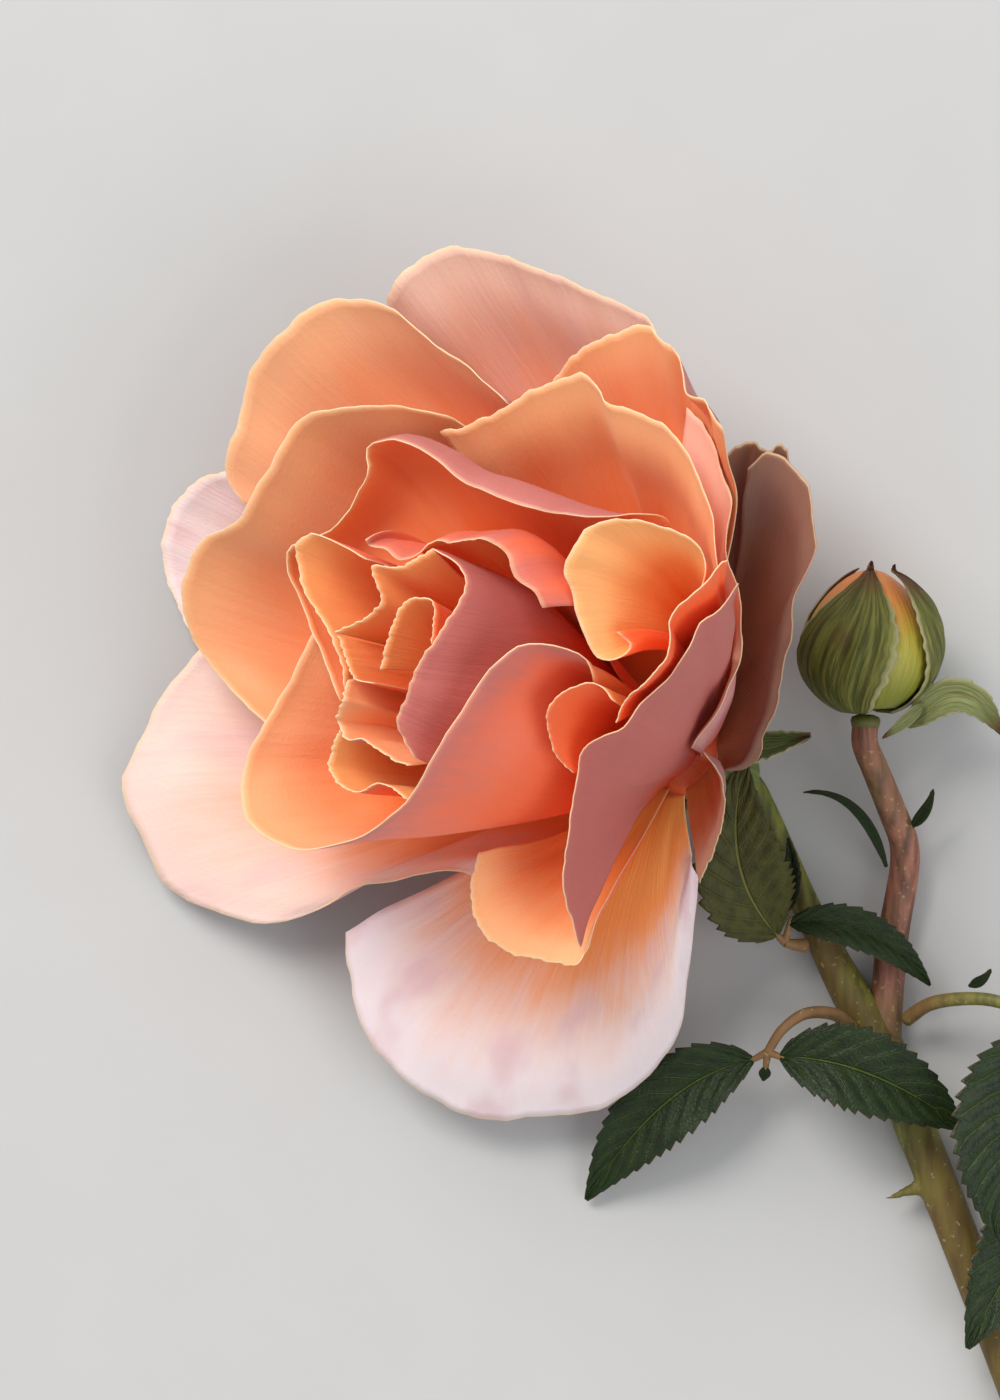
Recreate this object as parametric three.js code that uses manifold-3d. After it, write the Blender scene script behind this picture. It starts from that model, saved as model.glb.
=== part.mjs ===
// A cut garden rose lying on a table: a tilted open bloom, a side bud, leaves and a stem.
// Millimetres, +Z up, the table at z = 0. The origin is the middle of the rose's footprint.
import * as THREE from "three";
import { ParametricGeometry } from "three/addons/geometries/ParametricGeometry.js";
import { mergeVertices } from "three/addons/utils/BufferGeometryUtils.js";
import Module from "manifold-3d";

// ---------------------------------------------------------------- driving dimensions
const petalThickness = 0.5;
const leafThickness = 0.6;
const layerGap = 0.35; // clear space between petals that lie on each other
const jointGap = 0.3; // clear space where one piece is seated on another

const bloomSize = 1; // scales every petal's rim
const bloomSeat = [23, -6.5, 16.5]; // middle of the hip's domed top, above the table
const bloomTilt = 35; // degrees from upright
const bloomHeading = 153; // the way the bloom leans, degrees from +X
const seatRadius = 5.6; // dome that the petals grow from
const hipRadius = 4.8;
const hipLength = 14;
const sepalLength = 16;

const budRadius = 8.9;
const budLength = 18;
const budSeat = [45, -3.6, 9.4];
const budHeading = 88; // degrees from +X, lying nearly level
const budRise = 3;

const stemRadius = 2.7;
const pedicelRadius = 1.7;
const petioleRadius = 0.7;
const stemEnd = [99, -170, stemRadius];

// ---------------------------------------------------------------- small helpers
const radians = THREE.MathUtils.degToRad;
const vec = (p) => new THREE.Vector3(...p);
const smooth = (x) => THREE.MathUtils.smoothstep(x, 0, 1);
const curveThrough = (points) => new THREE.CatmullRomCurve3(points.map(vec), false, "centripetal");

// Axes of a frame whose Z leans `tilt` degrees from upright towards `compass`, and whose Y has no X.
function leaningFrame(tilt, compass) {
  const [a, t] = [radians(tilt), radians(compass)];
  const z = new THREE.Vector3(Math.sin(a) * Math.cos(t), Math.sin(a) * Math.sin(t), Math.cos(a));
  const y = new THREE.Vector3().crossVectors(z, new THREE.Vector3(1, 0, 0)).normalize();
  const x = new THREE.Vector3().crossVectors(y, z);
  return new THREE.Matrix4().makeBasis(x, y, z);
}

// Frame around a direction, with the same rule for its Y axis.
function frameAlong(direction) {
  const z = direction.clone().normalize();
  const y = new THREE.Vector3().crossVectors(z, new THREE.Vector3(1, 0, 0)).normalize();
  const x = new THREE.Vector3().crossVectors(y, z);
  return new THREE.Matrix4().makeBasis(x, y, z);
}

// ---------------------------------------------------------------- solids
// A closed solid around a grid of mid-surface points. It comes to an edge all round, so its two
// faces meet in one rim, and it thins where the grid narrows, so they never pass each other.
function sheetGeometry(grid, thickness) {
  const rows = grid.length - 1;
  const cols = grid[0].length - 1;
  const at = (r, c) => grid[THREE.MathUtils.clamp(r, 0, rows)][THREE.MathUtils.clamp(c, 0, cols)];
  const normalAt = (r, c) => {
    const across = new THREE.Vector3().subVectors(at(r, c + 1), at(r, c - 1));
    const along = new THREE.Vector3().subVectors(at(r + 1, c), at(r - 1, c));
    return across.cross(along).normalize();
  };
  const room = (r, c) =>
    Math.min(...[at(r, c + 1), at(r, c - 1), at(r + 1, c), at(r - 1, c)].map((p) => p.distanceTo(at(r, c))));
  const point = (q, v, target) => {
    const around = Math.round(q * 2 * cols);
    const front = around <= cols;
    const c = front ? around : 2 * cols - around;
    const r = Math.round(v * rows);
    const rim = r === 0 || r === rows || c === 0 || c === cols;
    const lift = rim ? 0 : (front ? 1 : -1) * Math.min(thickness / 2, 0.3 * room(r, c));
    target.copy(at(r, c)).addScaledVector(normalAt(r, c), lift);
  };
  const sheet = new ParametricGeometry(point, 2 * cols, rows);
  // The back mirrors the front, so its squares are split the other way. Turned round, both faces
  // bend alike in a twisted square and never cross.
  const corners = sheet.index.array;
  for (let i = 0; i < corners.length; i += 6) {
    if ((i / 6) % (2 * cols) < cols) continue;
    const [a, b, d, , c] = corners.slice(i, i + 6);
    corners.set([a, b, c, a, c, d], i);
  }
  return sheet;
}

// A closed round rod along a curve; radiusAt(0..1) gives its radius. Both ends are flat.
function rodGeometry(curve, radiusAt, sides = 8, steps = 12) {
  const frames = curve.computeFrenetFrames(steps, false);
  const point = (v, q, target) => {
    const row = Math.round(q * (steps + 2));
    const i = THREE.MathUtils.clamp(row - 1, 0, steps);
    const radius = row === 0 || row === steps + 2 ? 0 : radiusAt(i / steps);
    const turn = v * 2 * Math.PI;
    target
      .copy(curve.getPointAt(i / steps))
      .addScaledVector(frames.normals[i], Math.cos(turn) * radius)
      .addScaledVector(frames.binormals[i], Math.sin(turn) * radius);
  };
  return new ParametricGeometry(point, sides, steps + 2);
}

// ---------------------------------------------------------------- petals
// The bloom has one overall axis and two hearts, where the inner petals curl round each other.
// All three axes pass through the seat. A petal is a fan of lines from the seat's dome to its rim.
const bloomFrame = leaningFrame(bloomTilt, bloomHeading);
const axes = {
  bloom: bloomFrame,
  left: frameAlong(vec([-35.5, 9, 34])),
  right: frameAlong(vec([-11, 17, 41.5])),
};
const rootShift = { bloom: [0, 0, 0], left: [-0.1, 0, 0], right: [0.5, 0.25, 0] };
const petalCols = 16;
const petalRows = 8;

// Distance from the seat, opening from the axis and azimuth around it.
function polar(frame, point) {
  const p = point.clone().applyMatrix4(frame.clone().transpose());
  const s = p.length();
  return { s, open: Math.acos(THREE.MathUtils.clamp(p.z / s, -1, 1)), azimuth: Math.atan2(p.y, p.x) };
}

function fromPolar(frame, s, open, azimuth) {
  const r = s * Math.sin(open);
  const p = new THREE.Vector3(r * Math.cos(azimuth), r * Math.sin(azimuth), s * Math.cos(open));
  return p.applyMatrix4(frame);
}

// The value at a share of the way along evenly spaced ones.
function spread(values, share) {
  const place = share * (values.length - 1);
  const i = Math.min(Math.floor(place), values.length - 2);
  return THREE.MathUtils.lerp(values[i], values[i + 1], place - i);
}

// Mid-surface of a petal around the seat, before it settles on its neighbours.
//   about: the axis it curls round         root: opening of the dome where it grows, degrees
//   belly: extra opening along it, degrees, spread evenly from the rim's start to its end
//   peak: where the belly is largest       flare: above 1 it stays narrow and opens late
//   rim: free edge from the seat's middle, anticlockwise around the axis
function petalGrid(p) {
  const frame = axes[p.about];
  const rootFrame = frameAlong(
    new THREE.Vector3(0, 0, 1).applyMatrix4(frame).add(vec(rootShift[p.about])),
  );
  const rim = curveThrough(p.rim.map((point) => point.map((x) => x * bloomSize)));
  const foot = seatRadius + jointGap;
  const power = Math.log(0.5) / Math.log(p.peak ?? 0.5);
  const edge = [];
  for (let c = 0; c <= petalCols; c++) edge.push(rim.getPointAt(c / petalCols));
  const grid = [];
  for (let r = 0; r <= petalRows; r++) {
    const v = r / petalRows;
    const bulge = Math.sin(Math.PI * Math.pow(v, power));
    grid.push(
      edge.map((tip, c) => {
        const end = polar(frame, tip);
        const start = fromPolar(rootFrame, 1, radians(p.root), polar(rootFrame, tip).azimuth);
        const turn = new THREE.Quaternion().setFromUnitVectors(start, tip.clone().normalize());
        const step = new THREE.Quaternion().slerp(turn, Math.pow(v, p.flare ?? 1));
        const s = foot + (end.s - foot) * v;
        const a = polar(frame, start.clone().applyQuaternion(step));
        const belly = radians(spread(p.belly, c / petalCols));
        return fromPolar(frame, s, a.open + belly * bulge, a.azimuth);
      }),
    );
  }
  return grid;
}

// Petals are laid from the inside out. For each axis a map holds how far out, as an angle, the
// petals so far reach at each azimuth and distance; the next one is opened until it clears them.
const mapTurns = 180;
const mapStep = bloomSize;
const maps = { bloom: new Map(), left: new Map(), right: new Map() };
const heartsApart = { left: "right", right: "left" }; // the hearts don't push each other

function cellOf(a) {
  const turn = Math.floor((a.azimuth / (2 * Math.PI)) * mapTurns + mapTurns) % mapTurns;
  return [turn, Math.floor(a.s / mapStep)];
}

// Each number of a grid, replaced by what `pick` makes of it and its neighbours.
function around(values, rowsAway, colsAway, pick) {
  return values.map((row, r) =>
    row.map((_, c) => {
      const near = [];
      for (let dr = -rowsAway; dr <= rowsAway; dr++)
        for (let dc = -colsAway; dc <= colsAway; dc++) {
          const value = values[r + dr]?.[c + dc];
          if (value !== undefined) near.push(value);
        }
      return pick(near);
    }),
  );
}

function settle(about, grid) {
  const [frame, map] = [axes[about], maps[about]];
  const push = grid.map((row) =>
    row.map((point) => {
      const a = polar(frame, point);
      const [turn, shell] = cellOf(a);
      let taken = 0;
      for (let dt = -1; dt <= 1; dt++)
        for (let ds = -1; ds <= 1; ds++) {
          const key = `${(turn + dt + mapTurns) % mapTurns},${shell + ds}`;
          taken = Math.max(taken, map.get(key) ?? 0);
        }
      const clear = taken && taken + (petalThickness + layerGap) / a.s;
      return Math.max(0, clear - a.open);
    }),
  );
  const wide = around(push, 0, 1, (near) => Math.max(...near));
  const even = around(wide, 1, 1, (near) => near.reduce((sum, x) => sum + x, 0) / near.length);
  return grid.map((row, r) =>
    row.map((point, c) => {
      const a = polar(frame, point);
      return fromPolar(frame, a.s, a.open + Math.max(even[r][c], push[r][c]), a.azimuth);
    }),
  );
}

function markMaps(about, grid) {
  const steps = 6;
  const used = Object.keys(maps).filter((name) => name !== heartsApart[about]);
  for (let r = 0; r < grid.length - 1; r++)
    for (let c = 0; c < grid[0].length - 1; c++)
      for (let i = 0; i <= steps; i++)
        for (let j = 0; j <= steps; j++) {
          const top = new THREE.Vector3().lerpVectors(grid[r][c], grid[r][c + 1], i / steps);
          const low = new THREE.Vector3().lerpVectors(grid[r + 1][c], grid[r + 1][c + 1], i / steps);
          const point = top.lerp(low, j / steps);
          for (const name of used) {
            const a = polar(axes[name], point);
            const key = cellOf(a).join(",");
            maps[name].set(key, Math.max(maps[name].get(key) ?? 0, a.open));
          }
        }
}

// Inside out: the left heart, the right heart, then the petals that wrap both.
const petals = [
  {
    name: "petal_left_heart", about: "left", root: 14, belly: [0, 0],
    rim: [[-31, 13, 36], [-31, 18, 35], [-34, 18, 34], [-36, 14, 33], [-37, 10, 32]],
  },
  {
    name: "petal_left_fold_low", about: "left", root: 16, belly: [0, 0],
    rim: [[-42, 14, 28], [-41, 11, 29], [-40, 9, 30], [-38, 8.5, 31]],
  },
  {
    name: "petal_left_fold_high", about: "left", root: 18, belly: [0, 0],
    rim: [[-31, 24, 33], [-35, 22, 32], [-38, 22, 31], [-37, 18, 30], [-39, 16, 29], [-42, 14, 28]],
  },
  {
    name: "petal_left_wall", about: "left", root: 22, belly: [5, 5],
    rim: [[-33, 0, 35], [-35, 4, 36], [-34, 7, 37], [-33, 10, 38], [-31, 13, 39], [-29, 16, 39],
      [-27, 20, 38], [-28, 22, 36], [-31, 24, 34]],
  },
  {
    name: "petal_left_lip", about: "left", root: 24, belly: [-3, -3],
    rim: [[-39, 9, 31], [-41, 7, 30], [-42, 5, 28], [-42, 4, 27], [-41, 2, 28], [-39, 2, 29],
      [-36, 0, 31], [-34, -1, 33]],
  },
  {
    name: "petal_left_roll", about: "left", root: 28, belly: [0, 0],
    rim: [[-42, 3, 26], [-43, 0, 25], [-43, -2, 25], [-41, -4, 26], [-39, -4, 28], [-37, -3, 30],
      [-34, -5, 32]],
  },
  {
    name: "petal_left_inner", about: "left", root: 30, belly: [0, 0],
    rim: [[-39, 23, 30], [-45, 26, 26], [-47, 25, 25], [-47, 23, 24], [-46, 19, 24], [-44, 16, 25],
      [-42, 12, 27], [-40, 8, 29]],
  },
  {
    name: "petal_left_rolled_rim", about: "left", root: 30, belly: [7, 5], peak: 0.84,
    rim: [[-18.5, 17, 40.5], [-19.5, 19, 40.5], [-21.5, 20.5, 39.5], [-22.5, 23, 38.5],
      [-25.5, 25, 37.5], [-27.5, 24.5, 35.5], [-31, 23.5, 33.5], [-33.5, 22, 31.5],
      [-36.5, 21.5, 30.5], [-38.5, 22, 29.5], [-39, 24, 29.5]],
  },
  {
    name: "petal_right_funnel", about: "right", root: 9, belly: [0, 0], flare: 2.2,
    rim: [[0, 19, 40.5], [0.5, 21.5, 42.5], [0, 23.5, 43.5], [-2, 25.5, 43.5], [-5, 26.5, 43.5],
      [-8, 27, 43.5], [-11, 27, 43.5], [-13, 26, 42.5], [-14.5, 24, 42.5], [-15.5, 21.5, 41.5],
      [-14.5, 19, 40.5], [-13.5, 15.5, 39.5], [-11.5, 11.5, 38.5], [-9.5, 11.5, 38.5],
      [-8, 13, 38.5], [-9.5, 14.5, 39.5]],
  },
  {
    name: "petal_right_inner", about: "right", root: 15, belly: [0, 0], flare: 1,
    rim: [[-9.5, 4, 35.5], [-8.5, 6.5, 37.5], [-7, 8, 39.5], [-5, 10, 40.5], [-3.5, 13, 41.5],
      [-3.5, 17.5, 42.5], [-2, 21, 43.5], [-1, 21.5, 43.5]],
  },
  {
    name: "petal_upper_cup", about: "bloom", root: 34, belly: [4, 8, 1], peak: 0.86,
    rim: [[-6, 28, 38.5], [-11.5, 27.5, 39.5], [-16, 28, 38.5], [-19.5, 28.5, 38.5],
      [-24, 30, 36.5], [-27, 31.5, 33.5], [-31, 35, 29.5], [-35, 37, 27.5], [-37, 37, 25.5],
      [-39, 36, 23.5], [-38.5, 33.5, 23.5], [-40, 30.5, 21.5], [-42, 27.5, 20.5],
      [-45.5, 25.5, 19.5], [-48, 24.5, 18.5], [-48.5, 22.5, 17.5], [-46.5, 18, 17.5],
      [-43, 9, 20.5], [-42, 6.5, 21.5]],
  },
  {
    name: "petal_lower_wrap", about: "left", root: 38, belly: [2, 0, 0], flare: 0.75,
    rim: [[-42.5, 13.5, 21.5], [-47, 9, 17.5], [-51.5, 3, 13.5], [-54, -2, 11.5],
      [-53.5, -7.5, 13.5], [-50.5, -10, 16.5], [-47, -11, 20.5], [-41, -10, 25.5],
      [-37.5, -8, 29.5], [-34, -5, 33.5], [-30.5, 1, 37.5], [-25.5, 9, 39.5], [-23.5, 11, 40.5],
      [-21.5, 12.5, 40.5], [-18.5, 13, 40.5], [-15.5, 12.5, 40.5], [-13.5, 11.5, 39.5],
      [-12.5, 8.5, 35.5]],
  },
  {
    name: "petal_round_tip", about: "left", root: 40, belly: [0, 0],
    rim: [[-14.5, -2, 29.5], [-16.5, 0, 31.5], [-17.5, 3, 33.5], [-17.5, 5.5, 35.5],
      [-16, 7.5, 36.5], [-13.5, 8.5, 37.5], [-11.5, 8, 37.5], [-10, 6.5, 37.5]],
  },
  {
    name: "petal_lower_right", about: "bloom", root: 40, belly: [0, 0], flare: 0.6,
    rim: [[-13.5, -23, 17.5], [-15.5, -15.5, 23.5], [-15, -7.5, 27.5], [-14.5, -1.5, 29.5],
      [-14, 2, 31.5], [-12, 3, 33.5], [-10, 4, 35.5], [-8, 6.5, 37.5], [-5, 10, 38.5],
      [-3.5, 12.5, 39.5], [-3, 15, 40.5], [-1, 16.5, 40.5], [1, 19, 39.5], [1.5, 19.5, 38.5]],
  },
  {
    name: "petal_upper_right", about: "bloom", root: 42, belly: [0, 4], flare: 0.6,
    rim: [[2, 21, 37.5], [1.5, 24.5, 38.5], [1, 28, 39.5], [0, 31.5, 39.5], [-2, 35.5, 39.5],
      [-4, 38, 38.5], [-6.5, 39.5, 37.5], [-9.5, 40.5, 36.5], [-11, 41, 35.5],
      [-11.5, 42.5, 34.5], [-13.5, 44.5, 33.5], [-16, 44, 31.5], [-19.5, 42.5, 29.5],
      [-23, 40.5, 26.5], [-27.5, 38, 23.5], [-30.5, 37, 21.5]],
  },
  {
    name: "petal_right_rim", about: "bloom", root: 46, belly: [3, 3, 0], flare: 0.7,
    rim: [[-0.5, 1, 16.5], [0.5, 4.5, 19.5], [1, 9, 22.5], [1.5, 13.5, 24.5], [2.5, 18.5, 25.5],
      [3, 23, 25.5], [3.5, 26.5, 25.5], [4, 30, 25.5], [3, 33.5, 25.5], [2, 37, 25.5],
      [0.5, 39.5, 24.5], [-1, 41, 23.5]],
  },
  {
    name: "petal_top_right", about: "bloom", root: 54, belly: [0, 5], flare: 0.8,
    rim: [[1.5, 37.5, 35.5], [-1, 40, 34.5], [-3.5, 40.5, 33.5], [-4, 43.5, 31.5], [-5, 48, 29.5],
      [-6.5, 50.5, 27.5], [-10, 49.5, 25.5], [-13.5, 48, 23.5], [-17.5, 43.5, 19.5],
      [-20.5, 40, 16.5]],
  },
  {
    name: "petal_left_cup", about: "bloom", root: 60, belly: [4, 4],
    rim: [[-28, 34, 26], [-31, 38, 24], [-39, 41, 20], [-47, 40, 14], [-51, 34, 12], [-55, 28, 8],
      [-59, 26, 4], [-62, 20, 0], [-60, 13, -2], [-56, 8, -1], [-52, 4, 2], [-48, -1, 4]],
  },
  {
    name: "petal_small_front", about: "bloom", root: 62, belly: [0, 0],
    rim: [[-25.5, -11.5, 17.5], [-26.5, -16, 17.5], [-25.5, -20.5, 17.5], [-22, -23.5, 16.5],
      [-17.5, -24.5, 16.5], [-14, -24.5, 17.5], [-13, -22, 17.5]],
  },
  {
    name: "petal_lower_left", about: "bloom", root: 68, belly: [0, 0],
    rim: [[-60, 13, -8], [-65, 7, -11], [-69, -1, -13], [-70, -4, -13], [-67, -12, -13],
      [-65, -16, -13], [-60, -19, -12], [-52, -21, -9], [-45, -19, -6], [-40, -16, -2],
      [-35, -15, 3], [-30, -13, 8], [-23, -8, 15], [-18, -5, 20]],
  },
  {
    name: "petal_bottom", about: "bloom", root: 76, belly: [0, 0],
    rim: [[-42, -22, -6], [-42, -25, -6], [-41, -31, -7], [-39, -36, -8], [-34, -41, -9],
      [-27, -45, -10], [-18, -45, -10], [-11, -44, -9], [-6, -41, -8], [-1, -33, -4], [0, -24, 0],
      [1, -15, 4]],
  },
  {
    name: "petal_bottom_fold", about: "bloom", root: 66, belly: [2, 2], flare: 0.7,
    rim: [[1, -15.5, 9.5], [2.5, -11.5, 13.5], [3.5, -8, 16.5], [3.5, -4, 18.5],
      [2.5, -1.5, 19.5], [1, 0.5, 19.5]],
  },
  {
    name: "petal_top_left", about: "bloom", root: 78, belly: [0, 0],
    rim: [[-23, 40, 24], [-27, 45, 20], [-32, 50, 14], [-37, 54, 9], [-44, 55, 4], [-49, 52, 2],
      [-54, 46, -2], [-55, 41, -4], [-57, 35, -6], [-55, 31, -6]],
  },
  {
    name: "petal_top", about: "bloom", root: 84, belly: [0, 0],
    rim: [[-3, 47, 18], [-6, 52, 16], [-11, 55, 14], [-18, 58, 12], [-23, 60, 10], [-30, 61, 8],
      [-35, 58, 6], [-37, 55, 4], [-37, 51, 2]],
  },
  {
    name: "petal_left_back", about: "bloom", root: 86, belly: [0, 0],
    rim: [[-55, 35, -9], [-60, 34, -11], [-64, 30, -13], [-65, 24, -14], [-63, 18, -13],
      [-60, 12, -12], [-59, 8, -11]],
  },
  {
    name: "petal_right_back", about: "bloom", root: 66, belly: [2, 2], flare: 0.8,
    rim: [[4, -2, 7], [7, -1, 9], [10, 6, 15], [11, 13, 19], [12, 19, 21], [14, 25, 23], [14, 30, 23],
      [12, 34, 21], [9, 36, 20], [6, 34, 19]],
  },
  {
    name: "petal_right_back_torn", about: "bloom", root: 74, belly: [2, 2], flare: 0.8,
    rim: [[12, 30, 18], [10.5, 37, 19], [8, 36, 19], [6, 37, 19], [4, 36, 18], [3, 33, 17]],
  },
];

// ---------------------------------------------------------------- hip and sepals of the bloom
// The hip hangs behind the seat: the dome that the petals grow from, a waist, then a small bulb.
function hipGeometry() {
  const profile = [];
  for (let i = 0; i <= 8; i++) {
    const a = radians(i * 15);
    profile.push([seatRadius * Math.sin(a), seatRadius * Math.cos(a)]);
  }
  profile.push([hipRadius * 0.9, -seatRadius * 0.8]);
  profile.push([hipRadius, -hipLength * 0.55]);
  profile.push([hipRadius * 0.8, -hipLength * 0.8]);
  profile.push([pedicelRadius, -hipLength]);
  profile.push([0, -hipLength]);
  const points = profile.map(([x, y]) => new THREE.Vector2(Math.max(0, x), y)).reverse();
  return new THREE.LatheGeometry(points, 20).rotateX(Math.PI / 2).applyMatrix4(bloomFrame);
}

// Sepals spread under the petals and bend back towards the hip.
//   azimuth: degrees around the bloom's axis      open: opening at foot, middle and tip, degrees
const sepals = [
  { azimuth: 8, open: [128, 122, 118], long: 17 },
  { azimuth: 80, open: [128, 128, 124], long: 19 },
  { azimuth: 152, open: [128, 130, 122], long: 18 },
  { azimuth: 224, open: [128, 130, 120], long: 18 },
  { azimuth: 282, open: [132, 138, 136], long: 13 },
];
const sepalWidth = 4.2;

function sepalGrid(p) {
  const foot = seatRadius + 3 * jointGap;
  const [rows, cols] = [7, 4];
  const grid = [];
  for (let r = 0; r <= rows; r++) {
    const v = r / rows;
    const s = foot + (p.long * (sepalLength / 18) - foot) * v;
    const bend = p.open[0] * (1 - v) ** 2 + 2 * p.open[1] * v * (1 - v) + p.open[2] * v ** 2;
    const half = (sepalWidth / 2) * Math.cos((Math.PI / 2) * v * 0.93);
    const row = [];
    for (let c = 0; c <= cols; c++) {
      const u = -1 + (2 * c) / cols;
      const across = (half * u) / (s * Math.sin(radians(bend)));
      row.push(fromPolar(bloomFrame, s, radians(bend - 3 * u * u), radians(p.azimuth) + across));
    }
    grid.push(row);
  }
  return grid;
}

// ---------------------------------------------------------------- where the bud lies
// The bud lies along its own axis: +Z of this frame points from its stalk to its tip.
const budAxis = new THREE.Vector3(
  Math.cos(radians(budRise)) * Math.cos(radians(budHeading)),
  Math.cos(radians(budRise)) * Math.sin(radians(budHeading)),
  Math.sin(radians(budRise)),
);
const budFrame = frameAlong(budAxis);
const budHip = 1.5;
const budPoint = (along) => budAxis.clone().multiplyScalar(along).add(vec(budSeat)).toArray();

// ---------------------------------------------------------------- stem, pedicel and bud stalk
const behindSeat = (distance) =>
  new THREE.Vector3(0, 0, -distance).applyMatrix4(bloomFrame).add(vec(bloomSeat)).toArray();
const fork = [47.7, -43.5, stemRadius]; // where the bud stalk leaves the stem
const pedicelPath = [
  behindSeat(hipLength + jointGap),
  behindSeat(hipLength + jointGap + 1.6),
  [34.5, -17.5, 2.6], [38.7, -27, 2.3], [43, -35.5, 2.5], fork,
];
const stemPath = [
  fork, [51.1, -51.9, stemRadius], [55.2, -62.1, stemRadius], [58.4, -70.2, stemRadius],
  [77, -117, stemRadius], stemEnd,
];
const stalkPath = [
  fork, [48.1, -37.3, 2.4], [48.8, -29.8, 2.4], [50.2, -18.6, 4.4], [48.4, -13.5, 6.6],
  [46.3, -8.6, 8.6], budPoint(-1.6), budPoint(0),
];

// Prickles are part of the stem's own skin, so they are joined to it.
//   at: share of the stem's length          turn: degrees around it from +X          long: mm
const prickles = [
  { at: 0.13, turn: 195, long: 5.5 },
  { at: 0.2, turn: 15, long: 4 },
  { at: 0.38, turn: 160, long: 5 },
  { at: 0.52, turn: 30, long: 4.5 },
  { at: 0.7, turn: 200, long: 5 },
  { at: 0.86, turn: 10, long: 4 },
];

const wasm = await Module();
wasm.setup();

function toSolid(geometry) {
  const bare = geometry.clone();
  bare.deleteAttribute("normal");
  bare.deleteAttribute("uv");
  const merged = mergeVertices(bare, 1e-3);
  const triVerts = [];
  const index = merged.index.array;
  for (let i = 0; i < index.length; i += 3) {
    const [a, b, c] = [index[i], index[i + 1], index[i + 2]];
    if (a !== b && b !== c && c !== a) triVerts.push(a, b, c);
  }
  const vertProperties = new Float32Array(merged.attributes.position.array);
  return new wasm.Manifold(
    new wasm.Mesh({ numProp: 3, vertProperties, triVerts: new Uint32Array(triVerts) }),
  );
}

function toGeometry(solid) {
  const mesh = solid.getMesh();
  return new THREE.BufferGeometry()
    .setAttribute("position", new THREE.BufferAttribute(mesh.vertProperties, 3))
    .setIndex(new THREE.BufferAttribute(mesh.triVerts, 1));
}

// The stem, the pedicel up to the hip and the bud stalk grew as one branch.
function branchGeometry() {
  const stem = curveThrough(stemPath);
  let branch = toSolid(rodGeometry(stem, (t) => stemRadius * (1 - 0.08 * Math.sin(9 * t)), 10, 22));
  const pedicel = curveThrough(pedicelPath);
  const swell = (t) => pedicelRadius + (stemRadius - pedicelRadius) * smooth((t - 0.35) / 0.65);
  branch = branch.add(toSolid(rodGeometry(pedicel, swell, 10, 12)));
  const stalk = curveThrough(stalkPath);
  branch = branch.add(toSolid(rodGeometry(stalk, (t) => pedicelRadius * (1.25 - 0.3 * t), 10, 16)));
  branch = branch.add(toSolid(new THREE.SphereGeometry(stemRadius, 12, 8).translate(...fork)));
  for (const p of prickles) {
    const middle = stem.getPointAt(p.at);
    const turn = radians(p.turn);
    const outward = new THREE.Vector3(Math.cos(turn), Math.sin(turn), 0.25).normalize();
    const cone = new THREE.ConeGeometry(1.3, p.long + stemRadius, 7);
    cone.translate(0, (p.long + stemRadius) / 2, 0);
    cone.applyQuaternion(new THREE.Quaternion().setFromUnitVectors(new THREE.Vector3(0, 1, 0), outward));
    branch = branch.add(toSolid(cone.translate(middle.x, middle.y, middle.z)));
  }
  return toGeometry(branch);
}

// ---------------------------------------------------------------- the bud

// Radius of the furled petals at a distance z along the bud.
function budRadiusAt(z) {
  const t = THREE.MathUtils.clamp(z / budLength, 0, 1);
  return (budRadius - 0.9) * Math.pow(Math.sin(Math.PI * Math.pow(t, 0.86)), 0.58);
}

function budBodyGeometry() {
  const points = [[0, jointGap * 2]];
  for (let i = 1; i < 12; i++) {
    const z = jointGap * 2 + ((budLength - jointGap * 2) * i) / 12;
    points.push([budRadiusAt(z), z]);
  }
  points.push([0, budLength]);
  const profile = points.map(([x, y]) => new THREE.Vector2(x, y));
  return new THREE.LatheGeometry(profile, 22).rotateX(Math.PI / 2).applyMatrix4(budFrame);
}

// Three sepals clasp the bud. `azimuth` is the sepal's middle at its foot, and `twist` how far round
// the bud its tip has turned; `lift` opens the tip away from it.
const sepalClasp = 0.0506; // their distance from the body, as a share of its radius
const budSepals = [
  { azimuth: 218, twist: 48, wide: 112, end: 1.04, lift: 0.5 },
  { azimuth: 26, twist: -68, wide: 84, end: 1.02, lift: 1.9 },
  { azimuth: 112, twist: 20, wide: 84, end: 0.98, lift: 0.6 },
];

function budSepalGrid(p) {
  const [rows, cols] = [8, 6];
  const grid = [];
  for (let r = 0; r <= rows; r++) {
    const v = r / rows;
    const z = 0.4 + (budLength * p.end - 0.4) * v;
    const spread = radians(p.wide / 2) * Math.cos((Math.PI / 2) * Math.pow(v, 1.6) * 0.94);
    const body = Math.max(budRadiusAt(z), 0.9);
    const radius = body + sepalClasp * budRadius + leafThickness / 2 + p.lift * v * v;
    const row = [];
    for (let c = 0; c <= cols; c++) {
      const a = radians(p.azimuth + p.twist * v) + spread * (-1 + (2 * c) / cols);
      row.push(new THREE.Vector3(radius * Math.cos(a), radius * Math.sin(a), z).applyMatrix4(budFrame));
    }
    grid.push(row);
  }
  return grid;
}

function budHipGeometry() {
  const points = [[0, -budHip], [pedicelRadius, -budHip], [pedicelRadius * 1.1, -budHip * 0.5]];
  points.push([pedicelRadius, -budHip * 0.2], [pedicelRadius * 0.6, 0], [0, 0]);
  const profile = points.map(([x, y]) => new THREE.Vector2(x, y));
  return new THREE.LatheGeometry(profile, 16).rotateX(Math.PI / 2).applyMatrix4(budFrame);
}

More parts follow.
